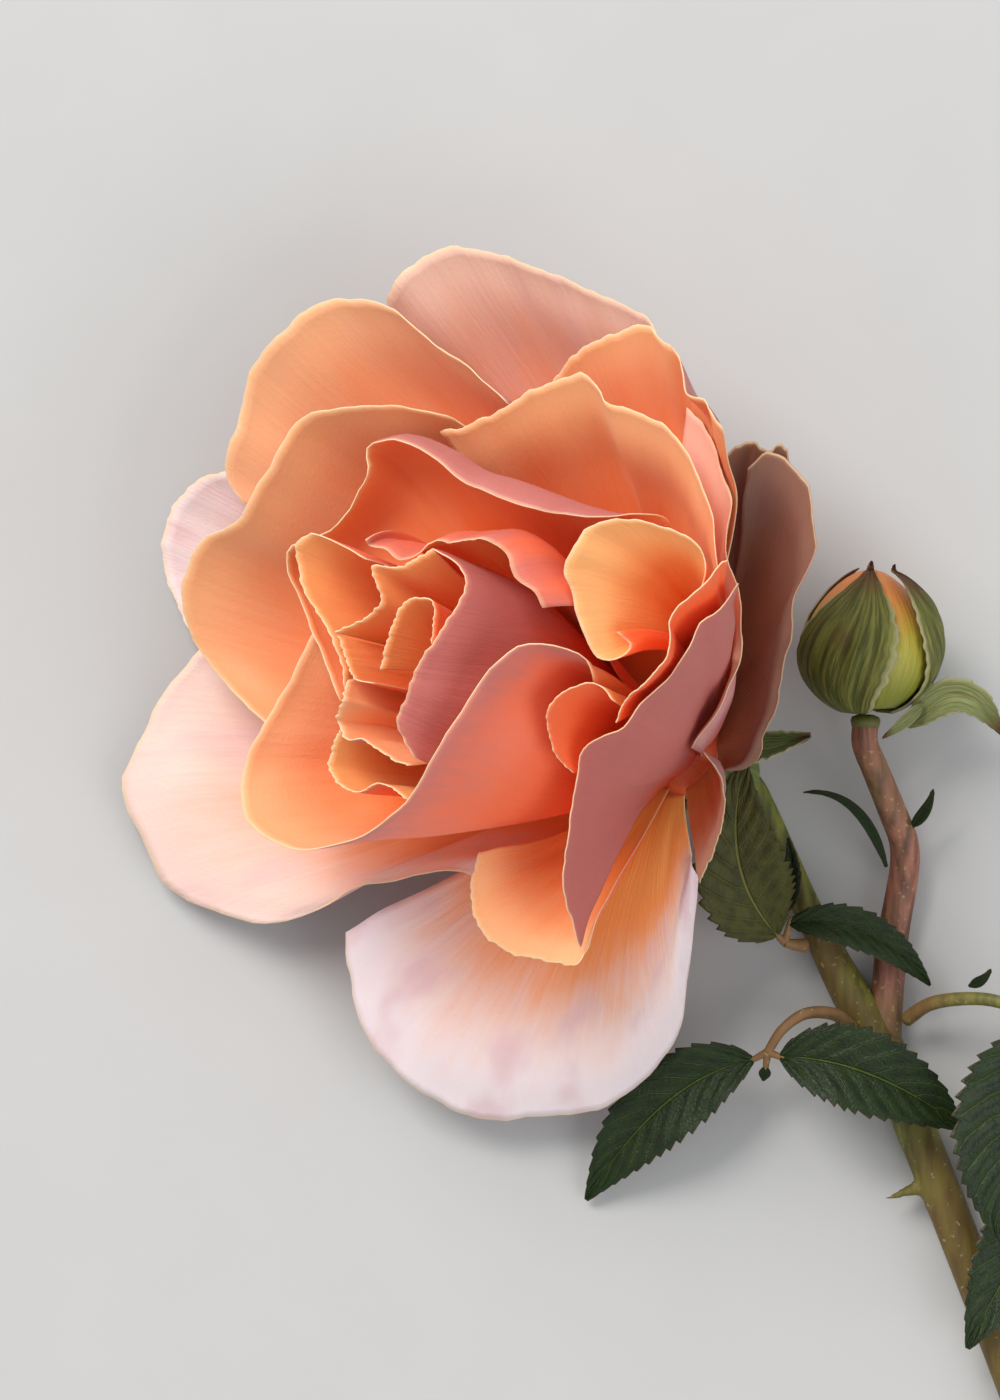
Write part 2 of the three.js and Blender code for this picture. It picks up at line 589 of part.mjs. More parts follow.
// ---------------------------------------------------------------- leaves
// A leaflet from its foot to its tip.
//   via: a point its midrib bends towards       wide: full width       fold: degrees each half rises
//   roll: degrees the blade turns around its midrib, its right side down
const leaflets = [
  {
    name: "leaflet_behind_bloom", wide: 12, fold: 8, roll: 0,
    foot: [34.2, -29, 7], via: [26.2, -20.6, 17], tip: [30, -7.5, 18],
  },
  {
    name: "leaflet_edge_on", wide: 3, fold: 30, roll: 20,
    foot: [35.6, -26, 5.2], via: [37, -22, 6], tip: [35.6, -17, 6.4],
  },
  {
    name: "leaflet_over_stalk", wide: 5.8, fold: 24, roll: 14,
    foot: [35.8, -27.6, 7], via: [46, -26.4, 11], tip: [53.2, -35.3, 5.5],
  },
  {
    name: "leaflet_lower_left", wide: 10.4, fold: 18, roll: -8,
    foot: [31.2, -44.4, 8], via: [20, -46.5, 8], tip: [10.8, -62.2, 0.9],
  },
  {
    name: "leaflet_lower_middle", wide: 11, fold: 16, roll: 8,
    foot: [34.6, -44, 9.2], via: [45, -43.6, 13], tip: [57.4, -53, 8.5],
  },
  {
    name: "leaflet_stub", wide: 1.6, fold: 20, roll: 0,
    foot: [32.8, -45.3, 8], via: [32.7, -46, 8], tip: [32.5, -47, 7.4],
  },
  {
    name: "leaflet_right_upper", wide: 17, fold: 16, roll: 6,
    foot: [68, -41, 13.5], via: [61, -50, 16], tip: [62, -67, 12.5],
  },
  {
    name: "leaflet_right_lower", wide: 12, fold: 20, roll: -6,
    foot: [72.5, -58.5, 7.4], via: [65, -65, 6.5], tip: [57.8, -80.2, 6.6],
  },
  {
    name: "leaflet_right_tip", wide: 15, fold: 16, roll: 0,
    foot: [76, -60, 9], via: [82, -70, 10], tip: [84, -84, 2],
  },
  {
    name: "leaflet_right_outer", wide: 14, fold: 14, roll: 0,
    foot: [75, -54, 9.5], via: [84, -52, 11], tip: [95, -58, 3],
  },
];

// A point by the bud: across it and up, as shares of its radius, and along it.
function byBud(across, up, along) {
  const p = new THREE.Vector3(across * budRadius, up * budRadius, along).applyMatrix4(budFrame);
  return p.add(vec(budSeat)).toArray();
}

// Two sepals of the bud have let go of it: one hangs, the other is bent back.
const looseSepals = [
  {
    name: "bud_sepal_4", wide: 1.7, fold: 10, roll: 20,
    foot: byBud(0.664, -0.346, 2.57), via: byBud(0.534, -0.465, 1.39), tip: byBud(0.217, -0.41, -0.84),
  },
  {
    name: "bud_sepal_5", wide: 4.6, fold: 16, roll: 0,
    foot: byBud(0.712, -0.103, 1.87), via: byBud(1.268, -0.533, 9.26), tip: byBud(1.912, 0.152, -0.28),
  },
];

function leafletGrid(p) {
  const [rows, cols] = [10, 6];
  const [foot, via, tip] = [vec(p.foot), vec(p.via), vec(p.tip)];
  const midrib = new THREE.QuadraticBezierCurve3(foot, via, tip);
  const grid = [];
  for (let r = 0; r <= rows; r++) {
    const v = r / rows;
    const along = midrib.getTangentAt(v);
    const side = new THREE.Vector3().crossVectors(along, new THREE.Vector3(0, 0, 1)).normalize();
    side.applyAxisAngle(along, -radians(p.roll));
    const up = new THREE.Vector3().crossVectors(side, along);
    const half = (p.wide / 2) * (0.04 + 0.96 * Math.pow(Math.sin(Math.PI * Math.pow(v, 0.74)), 0.92));
    const row = [];
    for (let c = 0; c <= cols; c++) {
      const u = 1 - (2 * c) / cols;
      const rise = Math.abs(u) * half * Math.sin(radians(p.fold));
      const out = u * half * Math.cos(radians(p.fold));
      row.push(midrib.getPointAt(v).addScaledVector(side, out).addScaledVector(up, rise));
    }
    grid.push(row);
  }
  return grid;
}

// Leaf stalks, from the stem to their end leaflet.
const petioles = [
  { name: "leaf_stalk_upper", path: [[37.6, -30.4, 4.9], [36.6, -30.3, 6], [35.2, -30, 6.6]] },
  {
    name: "leaf_stalk_left",
    path: [[43.6, -40.6, 5], [41.2, -38.8, 7.6], [37.6, -38.7, 9], [34.8, -40.6, 9.4], [33, -43.4, 8.8]],
  },
  {
    name: "leaf_stalk_right",
    path: [[50.4, -39.6, 4.4], [53, -37.6, 7.5], [56.6, -36.8, 10], [61, -37, 12], [67, -39.6, 12.8],
      [71, -47, 11.6], [73.6, -54, 10], [75, -58.4, 9.2]],
  },
];

// Small leafy bracts on the bud stalk.
const bracts = [
  {
    name: "bract_left", wide: 1.4, fold: 20, roll: 0,
    foot: [47.4, -19.2, 5.4], via: [44.6, -10.6, 9], tip: [37.4, -11.4, 8.6],
  },
  {
    name: "bract_right", wide: 1.6, fold: 20, roll: 0,
    foot: [51.6, -15, 6.6], via: [53, -13.6, 8], tip: [53.4, -11, 9],
  },
  {
    name: "bract_fork", wide: 1.4, fold: 20, roll: 0,
    foot: [58.6, -34.8, 11.6], via: [59.6, -34.4, 12.6], tip: [60.2, -33, 13],
  },
];

// ---------------------------------------------------------------- the model
const colours = { petal: "#e98a5a", leaf: "#2c4a1c", stem: "#7c7a34", sepal: "#4c5a2c", bud: "#8f8a2c" };
const rose = new THREE.Group();

function addPiece(parent, name, geometry, colour, roughness = 0.6) {
  const material = new THREE.MeshStandardMaterial({ color: colour, roughness, metalness: 0 });
  const mesh = new THREE.Mesh(geometry, material);
  mesh.name = name;
  parent.add(mesh);
}

const bloom = new THREE.Group();
bloom.position.set(...bloomSeat);
rose.add(bloom);
for (const p of petals) {
  const grid = settle(p.about, petalGrid(p));
  markMaps(p.about, grid);
  addPiece(bloom, p.name, sheetGeometry(grid, petalThickness), colours.petal);
}
addPiece(bloom, "hip", hipGeometry(), colours.sepal);
sepals.forEach((p, i) => {
  addPiece(bloom, `sepal_${i + 1}`, sheetGeometry(sepalGrid(p), leafThickness), colours.sepal);
});

const bud = new THREE.Group();
bud.position.copy(budAxis).multiplyScalar(budHip + jointGap).add(vec(budSeat));
rose.add(bud);
addPiece(bud, "bud_petals", budBodyGeometry(), colours.bud);
addPiece(bud, "bud_hip", budHipGeometry(), colours.sepal);
budSepals.forEach((p, i) => {
  addPiece(bud, `bud_sepal_${i + 1}`, sheetGeometry(budSepalGrid(p), leafThickness), colours.sepal);
});
for (const p of looseSepals) {
  addPiece(rose, p.name, sheetGeometry(leafletGrid(p), leafThickness), colours.sepal);
}

addPiece(rose, "stem", branchGeometry(), colours.stem);
for (const p of petioles) {
  const rod = rodGeometry(curveThrough(p.path), (t) => petioleRadius * (1.3 - 0.5 * t), 8, 14);
  addPiece(rose, p.name, rod, colours.stem);
}
for (const p of [...leaflets, ...bracts]) {
  addPiece(rose, p.name, sheetGeometry(leafletGrid(p), leafThickness), colours.leaf);
}

// The origin goes to the middle of the footprint, on the table.
const box = new THREE.Box3().setFromObject(rose, true);
const footprint = box.getCenter(new THREE.Vector3()).setZ(box.min.z);
rose.position.copy(footprint).negate();

export default rose;
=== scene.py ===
"""A cut garden rose lying on a table: its looks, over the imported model.

Points of the rose are in millimetres in the frame that its model was drawn in, +Z up from the table;
placed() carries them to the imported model's frame, in metres.
"""

import math
from collections import namedtuple

import bmesh
import bpy
import numpy as np
from bpy.props import FloatProperty, FloatVectorProperty, PointerProperty
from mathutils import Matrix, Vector


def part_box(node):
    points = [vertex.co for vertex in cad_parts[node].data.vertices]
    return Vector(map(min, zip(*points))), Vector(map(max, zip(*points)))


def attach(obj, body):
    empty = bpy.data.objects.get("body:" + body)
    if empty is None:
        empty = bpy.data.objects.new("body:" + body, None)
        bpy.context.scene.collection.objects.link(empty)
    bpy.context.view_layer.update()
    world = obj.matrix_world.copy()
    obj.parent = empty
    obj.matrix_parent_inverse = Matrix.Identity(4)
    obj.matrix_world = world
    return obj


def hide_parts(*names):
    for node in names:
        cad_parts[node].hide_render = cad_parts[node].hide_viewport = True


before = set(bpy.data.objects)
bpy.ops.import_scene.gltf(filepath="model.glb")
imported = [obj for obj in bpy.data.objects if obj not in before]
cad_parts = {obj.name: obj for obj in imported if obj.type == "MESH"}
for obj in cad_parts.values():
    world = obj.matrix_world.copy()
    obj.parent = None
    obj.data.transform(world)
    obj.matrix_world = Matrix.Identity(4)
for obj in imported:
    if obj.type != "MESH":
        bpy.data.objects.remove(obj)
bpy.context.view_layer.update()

bl_info = {
    "name": "Cut rose",
    "version": (1, 0, 0),
    "blender": (4, 5, 0),
    "location": "View3D > Sidebar > Rose",
    "description": "Petals, leaves, bud and stem of a cut rose lying on a table",
    "category": "Object",
}

# ---------------------------------------------------------------- places and sizes, millimetres
BLOOM_SEAT = np.array([23, -6.5, 16.5])  # middle of the dome that the petals grow from
BLOOM_TILT = 35
BLOOM_HEADING = 153
SEAT_RADIUS = 5.6
HIP_RADIUS = 4.8
HIP_LENGTH = 14
PETAL_WALL = 0.5  # the model's petals, whose room the finer ones share
LAYER_GAP = 0.35
JOINT_GAP = 0.3

BUD_SEAT = np.array([45, -3.6, 9.4])
BUD_HEADING = 88
BUD_RISE = 3
BUD_RADIUS = 8.9
BUD_LENGTH = 18
BUD_HIP = 1.5

STEM_RADIUS = 2.7
PEDICEL_RADIUS = 1.7
PETIOLE_RADIUS = 0.7
STEM_END = (99, -170, STEM_RADIUS)

CAMERA_HEIGHT = 800


def seat_in_frame():
    """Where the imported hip's dome has its middle."""
    low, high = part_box("hip")
    dome = SEAT_RADIUS / 1000
    return np.array([low[0] + dome, high[1] - dome, high[2] - dome])


SEAT = seat_in_frame()


def placed(points):
    """Points of the drawing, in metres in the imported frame."""
    return SEAT + (np.asarray(points, dtype=float) - BLOOM_SEAT) / 1000


# ---------------------------------------------------------------- directions and curves
def unit(vectors):
    vectors = np.asarray(vectors, dtype=float)
    return vectors / np.linalg.norm(vectors, axis=-1, keepdims=True)


def frame_along(direction):
    """Axes as columns: Z along a direction, and Y without any X in it."""
    z = unit(direction)
    y = unit(np.cross(z, [1, 0, 0]))
    return np.stack([np.cross(y, z), y, z], axis=-1)


def heading(rise, compass):
    """A direction `rise` degrees above level, towards `compass` degrees from +X."""
    a, t = math.radians(rise), math.radians(compass)
    return np.array([math.cos(a) * math.cos(t), math.cos(a) * math.sin(t), math.sin(a)])


def curve_through(points, samples):
    """Points evenly along a centripetal curve through the given ones."""
    p = np.asarray(points, dtype=float)
    p = np.vstack([2 * p[0] - p[1], p, 2 * p[-1] - p[-2]])
    gap = np.maximum(np.linalg.norm(np.diff(p, axis=0), axis=1) ** 0.5, 1e-4)
    dense = []
    t = np.linspace(0, 1, 25)[:-1, None]
    for i in range(1, len(p) - 2):
        a, b, c, d = p[i - 1 : i + 3]
        d0, d1, d2 = gap[i - 1 : i + 2]
        leave = ((b - a) / d0 - (c - a) / (d0 + d1) + (c - b) / d1) * d1
        arrive = ((c - b) / d1 - (d - b) / (d1 + d2) + (d - c) / d2) * d1
        k2 = -3 * b + 3 * c - 2 * leave - arrive
        k3 = 2 * b - 2 * c + leave + arrive
        dense.append(b + leave * t + k2 * t**2 + k3 * t**3)
    dense.append(p[-2][None])
    dense = np.vstack(dense)
    length = np.concatenate([[0], np.cumsum(np.linalg.norm(np.diff(dense, axis=0), axis=1))])
    at = np.linspace(0, length[-1], samples)
    return np.stack([np.interp(at, length, dense[:, k]) for k in range(3)], axis=1)


def spline_weights(count, samples):
    """Weights that carry `count` even values to `samples` even ones, smoothly."""
    weights = np.zeros((samples, count))
    for k, t in enumerate(np.linspace(0, count - 1, samples)):
        i = min(int(t), count - 2)
        f = t - i
        near = [
            -0.5 * f + f**2 - 0.5 * f**3,
            1 - 2.5 * f**2 + 1.5 * f**3,
            0.5 * f + 2 * f**2 - 1.5 * f**3,
            -0.5 * f**2 + 0.5 * f**3,
        ]
        for step, weight in zip((-1, 0, 1, 2), near):
            weights[k, np.clip(i + step, 0, count - 1)] += weight
    return weights


def finer(values, rows, cols):
    """A grid of numbers, smoothly carried to a finer grid."""
    return spline_weights(values.shape[0], rows) @ values @ spline_weights(values.shape[1], cols).T


def smoothstep(low, high, x):
    t = np.clip((x - low) / (high - low), 0, 1)
    return t * t * (3 - 2 * t)


def wander(seed, x, waves):
    """A smooth seeded line between about -1 and 1, made of a few waves."""
    random = np.random.default_rng(seed)
    total = np.zeros_like(x)
    for wave in waves:
        total += np.sin(2 * math.pi * (wave * x + random.random())) * random.uniform(0.6, 1)
    return total / len(waves)


# ---------------------------------------------------------------- petals: where each one lies
AXES = {
    "bloom": frame_along(heading(90 - BLOOM_TILT, BLOOM_HEADING)),
    "left": frame_along([-35.5, 9, 34]),
    "right": frame_along([-11, 17, 41.5]),
}
ROOT_SHIFT = {"bloom": [0, 0, 0], "left": [-0.1, 0, 0], "right": [0.5, 0.25, 0]}
Petal = namedtuple("Petal", "name about root belly rim peak flare", defaults=(0.5, 1))

# Inside out. root: opening of the dome where the petal grows, degrees; belly: extra opening along
# it, spread from the rim's start to its end; rim: its free edge in millimetres from the seat,
# anticlockwise around its axis; peak: where the belly is largest; flare: above 1 it opens late.
PETALS = [
    Petal("left_heart", "left", 14, (0, 0), rim=[
        (-31, 13, 36), (-31, 18, 35), (-34, 18, 34), (-36, 14, 33), (-37, 10, 32),
    ]),
    Petal("left_fold_low", "left", 16, (0, 0), rim=[
        (-42, 14, 28), (-41, 11, 29), (-40, 9, 30), (-38, 8.5, 31),
    ]),
    Petal("left_fold_high", "left", 18, (0, 0), rim=[
        (-31, 24, 33), (-35, 22, 32), (-38, 22, 31), (-37, 18, 30), (-39, 16, 29), (-42, 14, 28),
    ]),
    Petal("left_wall", "left", 22, (5, 5), rim=[
        (-33, 0, 35), (-35, 4, 36), (-34, 7, 37), (-33, 10, 38), (-31, 13, 39), (-29, 16, 39),
        (-27, 20, 38), (-28, 22, 36), (-31, 24, 34),
    ]),
    Petal("left_lip", "left", 24, (-3, -3), rim=[
        (-39, 9, 31), (-41, 7, 30), (-42, 5, 28), (-42, 4, 27), (-41, 2, 28), (-39, 2, 29),
        (-36, 0, 31), (-34, -1, 33),
    ]),
    Petal("left_roll", "left", 28, (0, 0), rim=[
        (-42, 3, 26), (-43, 0, 25), (-43, -2, 25), (-41, -4, 26), (-39, -4, 28), (-37, -3, 30),
        (-34, -5, 32),
    ]),
    Petal("left_inner", "left", 30, (0, 0), rim=[
        (-39, 23, 30), (-45, 26, 26), (-47, 25, 25), (-47, 23, 24), (-46, 19, 24), (-44, 16, 25),
        (-42, 12, 27), (-40, 8, 29),
    ]),
    Petal("left_rolled_rim", "left", 30, (7, 5), peak=0.84, rim=[
        (-18.5, 17, 40.5), (-19.5, 19, 40.5), (-21.5, 20.5, 39.5), (-22.5, 23, 38.5),
        (-25.5, 25, 37.5), (-27.5, 24.5, 35.5), (-31, 23.5, 33.5), (-33.5, 22, 31.5),
        (-36.5, 21.5, 30.5), (-38.5, 22, 29.5), (-39, 24, 29.5),
    ]),
    Petal("right_funnel", "right", 9, (0, 0), flare=2.2, rim=[
        (0, 19, 40.5), (0.5, 21.5, 42.5), (0, 23.5, 43.5), (-2, 25.5, 43.5), (-5, 26.5, 43.5),
        (-8, 27, 43.5), (-11, 27, 43.5), (-13, 26, 42.5), (-14.5, 24, 42.5), (-15.5, 21.5, 41.5),
        (-14.5, 19, 40.5), (-13.5, 15.5, 39.5), (-11.5, 11.5, 38.5), (-9.5, 11.5, 38.5),
        (-8, 13, 38.5), (-9.5, 14.5, 39.5),
    ]),
    Petal("right_inner", "right", 15, (0, 0), flare=1, rim=[
        (-9.5, 4, 35.5), (-8.5, 6.5, 37.5), (-7, 8, 39.5), (-5, 10, 40.5), (-3.5, 13, 41.5),
        (-3.5, 17.5, 42.5), (-2, 21, 43.5), (-1, 21.5, 43.5),
    ]),
    Petal("upper_cup", "bloom", 34, (4, 8, 1), peak=0.86, rim=[
        (-6, 28, 38.5), (-11.5, 27.5, 39.5), (-16, 28, 38.5), (-19.5, 28.5, 38.5),
        (-24, 30, 36.5), (-27, 31.5, 33.5), (-31, 35, 29.5), (-35, 37, 27.5), (-37, 37, 25.5),
        (-39, 36, 23.5), (-38.5, 33.5, 23.5), (-40, 30.5, 21.5), (-42, 27.5, 20.5),
        (-45.5, 25.5, 19.5), (-48, 24.5, 18.5), (-48.5, 22.5, 17.5), (-46.5, 18, 17.5),
        (-43, 9, 20.5), (-42, 6.5, 21.5),
    ]),
    Petal("lower_wrap", "left", 38, (2, 0, 0), flare=0.75, rim=[
        (-42.5, 13.5, 21.5), (-47, 9, 17.5), (-51.5, 3, 13.5), (-54, -2, 11.5),
        (-53.5, -7.5, 13.5), (-50.5, -10, 16.5), (-47, -11, 20.5), (-41, -10, 25.5),
        (-37.5, -8, 29.5), (-34, -5, 33.5), (-30.5, 1, 37.5), (-25.5, 9, 39.5),
        (-23.5, 11, 40.5), (-21.5, 12.5, 40.5), (-18.5, 13, 40.5), (-15.5, 12.5, 40.5),
        (-13.5, 11.5, 39.5), (-12.5, 8.5, 35.5),
    ]),
    Petal("round_tip", "left", 40, (0, 0), rim=[
        (-14.5, -2, 29.5), (-16.5, 0, 31.5), (-17.5, 3, 33.5), (-17.5, 5.5, 35.5),
        (-16, 7.5, 36.5), (-13.5, 8.5, 37.5), (-11.5, 8, 37.5), (-10, 6.5, 37.5),
    ]),
    Petal("lower_right", "bloom", 40, (0, 0), flare=0.6, rim=[
        (-13.5, -23, 17.5), (-15.5, -15.5, 23.5), (-15, -7.5, 27.5), (-14.5, -1.5, 29.5),
        (-14, 2, 31.5), (-12, 3, 33.5), (-10, 4, 35.5), (-8, 6.5, 37.5), (-5, 10, 38.5),
        (-3.5, 12.5, 39.5), (-3, 15, 40.5), (-1, 16.5, 40.5), (1, 19, 39.5), (1.5, 19.5, 38.5),
    ]),
    Petal("upper_right", "bloom", 42, (0, 4), flare=0.6, rim=[
        (2, 21, 37.5), (1.5, 24.5, 38.5), (1, 28, 39.5), (0, 31.5, 39.5), (-2, 35.5, 39.5),
        (-4, 38, 38.5), (-6.5, 39.5, 37.5), (-9.5, 40.5, 36.5), (-11, 41, 35.5),
        (-11.5, 42.5, 34.5), (-13.5, 44.5, 33.5), (-16, 44, 31.5), (-19.5, 42.5, 29.5),
        (-23, 40.5, 26.5), (-27.5, 38, 23.5), (-30.5, 37, 21.5),
    ]),
    Petal("right_rim", "bloom", 46, (3, 3, 0), flare=0.7, rim=[
        (-0.5, 1, 16.5), (0.5, 4.5, 19.5), (1, 9, 22.5), (1.5, 13.5, 24.5), (2.5, 18.5, 25.5),
        (3, 23, 25.5), (3.5, 26.5, 25.5), (4, 30, 25.5), (3, 33.5, 25.5), (2, 37, 25.5),
        (0.5, 39.5, 24.5), (-1, 41, 23.5),
    ]),
    Petal("top_right", "bloom", 54, (0, 5), flare=0.8, rim=[
        (1.5, 37.5, 35.5), (-1, 40, 34.5), (-3.5, 40.5, 33.5), (-4, 43.5, 31.5), (-5, 48, 29.5),
        (-6.5, 50.5, 27.5), (-10, 49.5, 25.5), (-13.5, 48, 23.5), (-17.5, 43.5, 19.5),
        (-20.5, 40, 16.5),
    ]),
    Petal("left_cup", "bloom", 60, (4, 4), rim=[
        (-28, 34, 26), (-31, 38, 24), (-39, 41, 20), (-47, 40, 14), (-51, 34, 12), (-55, 28, 8),
        (-59, 26, 4), (-62, 20, 0), (-60, 13, -2), (-56, 8, -1), (-52, 4, 2), (-48, -1, 4),
    ]),
    Petal("small_front", "bloom", 62, (0, 0), rim=[
        (-25.5, -11.5, 17.5), (-26.5, -16, 17.5), (-25.5, -20.5, 17.5), (-22, -23.5, 16.5),
        (-17.5, -24.5, 16.5), (-14, -24.5, 17.5), (-13, -22, 17.5),
    ]),
    Petal("lower_left", "bloom", 68, (0, 0), rim=[
        (-60, 13, -8), (-65, 7, -11), (-69, -1, -13), (-70, -4, -13), (-67, -12, -13),
        (-65, -16, -13), (-60, -19, -12), (-52, -21, -9), (-45, -19, -6), (-40, -16, -2),
        (-35, -15, 3), (-30, -13, 8), (-23, -8, 15), (-18, -5, 20),
    ]),
    Petal("bottom", "bloom", 76, (0, 0), rim=[
        (-42, -22, -6), (-42, -25, -6), (-41, -31, -7), (-39, -36, -8), (-34, -41, -9),
        (-27, -45, -10), (-18, -45, -10), (-11, -44, -9), (-6, -41, -8), (-1, -33, -4),
        (0, -24, 0), (1, -15, 4),
    ]),
    Petal("bottom_fold", "bloom", 66, (2, 2), flare=0.7, rim=[
        (1, -15.5, 9.5), (2.5, -11.5, 13.5), (3.5, -8, 16.5), (3.5, -4, 18.5), (2.5, -1.5, 19.5),
        (1, 0.5, 19.5),
    ]),
    Petal("top_left", "bloom", 78, (0, 0), rim=[
        (-23, 40, 24), (-27, 45, 20), (-32, 50, 14), (-37, 54, 9), (-44, 55, 4), (-49, 52, 2),
        (-54, 46, -2), (-55, 41, -4), (-57, 35, -6), (-55, 31, -6),
    ]),
    Petal("top", "bloom", 84, (0, 0), rim=[
        (-3, 47, 18), (-6, 52, 16), (-11, 55, 14), (-18, 58, 12), (-23, 60, 10), (-30, 61, 8),
        (-35, 58, 6), (-37, 55, 4), (-37, 51, 2),
    ]),
    Petal("left_back", "bloom", 86, (0, 0), rim=[
        (-55, 35, -9), (-60, 34, -11), (-64, 30, -13), (-65, 24, -14), (-63, 18, -13),
        (-60, 12, -12), (-59, 8, -11),
    ]),
    Petal("right_back", "bloom", 66, (2, 2), flare=0.8, rim=[
        (4, -2, 7), (7, -1, 9), (10, 6, 15), (11, 13, 19), (12, 19, 21), (14, 25, 23),
        (14, 30, 23), (12, 34, 21), (9, 36, 20), (6, 34, 19),
    ]),
    Petal("right_back_torn", "bloom", 74, (2, 2), flare=0.8, rim=[
        (12, 30, 18), (10.5, 37, 19), (8, 36, 19), (6, 37, 19), (4, 36, 18), (3, 33, 17),
    ]),
]


def to_polar(axes, points):
    """Distance from the seat, opening from the axis and azimuth around it."""
    local = points @ axes
    s = np.linalg.norm(local, axis=-1)
    opening = np.arccos(np.clip(local[..., 2] / s, -1, 1))
    return s, opening, np.arctan2(local[..., 1], local[..., 0])


def from_polar(axes, s, opening, azimuth):
    across = s * np.sin(opening)
    local = np.stack([across * np.cos(azimuth), across * np.sin(azimuth), s * np.cos(opening)], axis=-1)
    return local @ axes.T


def petal_fan(petal, rows, cols):
    """A petal's middle surface before it settles, as distance, opening and azimuth."""
    axes = AXES[petal.about]
    root_axes = frame_along(axes[:, 2] + ROOT_SHIFT[petal.about])
    tip = curve_through(petal.rim, cols + 1)
    v = np.linspace(0, 1, rows + 1)[:, None]
    tip_azimuth = to_polar(root_axes, tip)[2]
    start = from_polar(root_axes, np.ones(cols + 1), math.radians(petal.root), tip_azimuth)
    end = unit(tip)
    turn = np.arccos(np.clip((start * end).sum(axis=1), -1, 1))[None]
    lean = v**petal.flare
    near, far = np.sin((1 - lean) * turn) / np.sin(turn), np.sin(lean * turn) / np.sin(turn)
    direction = near[..., None] * start + far[..., None] * end
    foot = SEAT_RADIUS + JOINT_GAP
    s = foot + (np.linalg.norm(tip, axis=1)[None] - foot) * v
    power = math.log(0.5) / math.log(petal.peak)
    spread = np.interp(np.linspace(0, 1, cols + 1), np.linspace(0, 1, len(petal.belly)), petal.belly)
    bulge = np.radians(spread) * np.sin(math.pi * v**power)
    _, opening, azimuth = to_polar(axes, direction)
    return s, opening + bulge, azimuth


MAP_TURNS = 180
HEARTS_APART = {"left": "right", "right": "left"}


def cell_of(s, azimuth):
    turn = np.floor(azimuth / (2 * math.pi) * MAP_TURNS + MAP_TURNS).astype(int) % MAP_TURNS
    return turn, np.floor(s).astype(int)


def around(values, rows_away, cols_away, pick):
    """Each number replaced by what `pick` makes of it and its neighbours."""
    padded = np.pad(values, ((rows_away,) * 2, (cols_away,) * 2), constant_values=np.nan)
    near = [
        padded[i : i + values.shape[0], j : j + values.shape[1]]
        for i in range(2 * rows_away + 1)
        for j in range(2 * cols_away + 1)
    ]
    return pick(np.stack(near), axis=0)


def settle(taken, s, opening, azimuth):
    """How far each point opens to clear the petals laid before it."""
    turn, shell = cell_of(s, azimuth)
    near = np.zeros_like(s)
    for dt in (-1, 0, 1):
        for ds in (-1, 0, 1):
            near = np.maximum(near, taken[(turn + dt) % MAP_TURNS, shell + ds])
    clear = np.where(near > 0, near + (PETAL_WALL + LAYER_GAP) / s, 0)
    push = np.maximum(0, clear - opening)
    even = around(around(push, 0, 1, np.nanmax), 1, 1, np.nanmean)
    return np.maximum(even, push)


def mark(maps, about, points):
    """Notes on every map but the other heart's how far out a petal reaches."""
    steps = np.linspace(0, 1, 7)
    i, j = steps[None, None, :, None, None], steps[None, None, None, :, None]
    a, b = points[:-1, :-1, None, None], points[:-1, 1:, None, None]
    c, d = points[1:, :-1, None, None], points[1:, 1:, None, None]
    dense = (1 - j) * ((1 - i) * a + i * b) + j * ((1 - i) * c + i * d)
    for name, taken in maps.items():
        if name == HEARTS_APART.get(about):
            continue
        s, opening, azimuth = to_polar(AXES[name], dense.reshape(-1, 3))
        np.maximum.at(taken, cell_of(s, azimuth), opening)


def lay_petals():
    """Each petal and how far it opened, from the inside out."""
    maps = {name: np.zeros((MAP_TURNS, 140)) for name in AXES}
    laid = []
    for petal in PETALS:
        s, opening, azimuth = petal_fan(petal, 8, 16)
        push = settle(maps[petal.about], s, opening, azimuth)
        mark(maps, petal.about, from_polar(AXES[petal.about], s, opening + push, azimuth))
        laid.append((petal, push))
    return laid


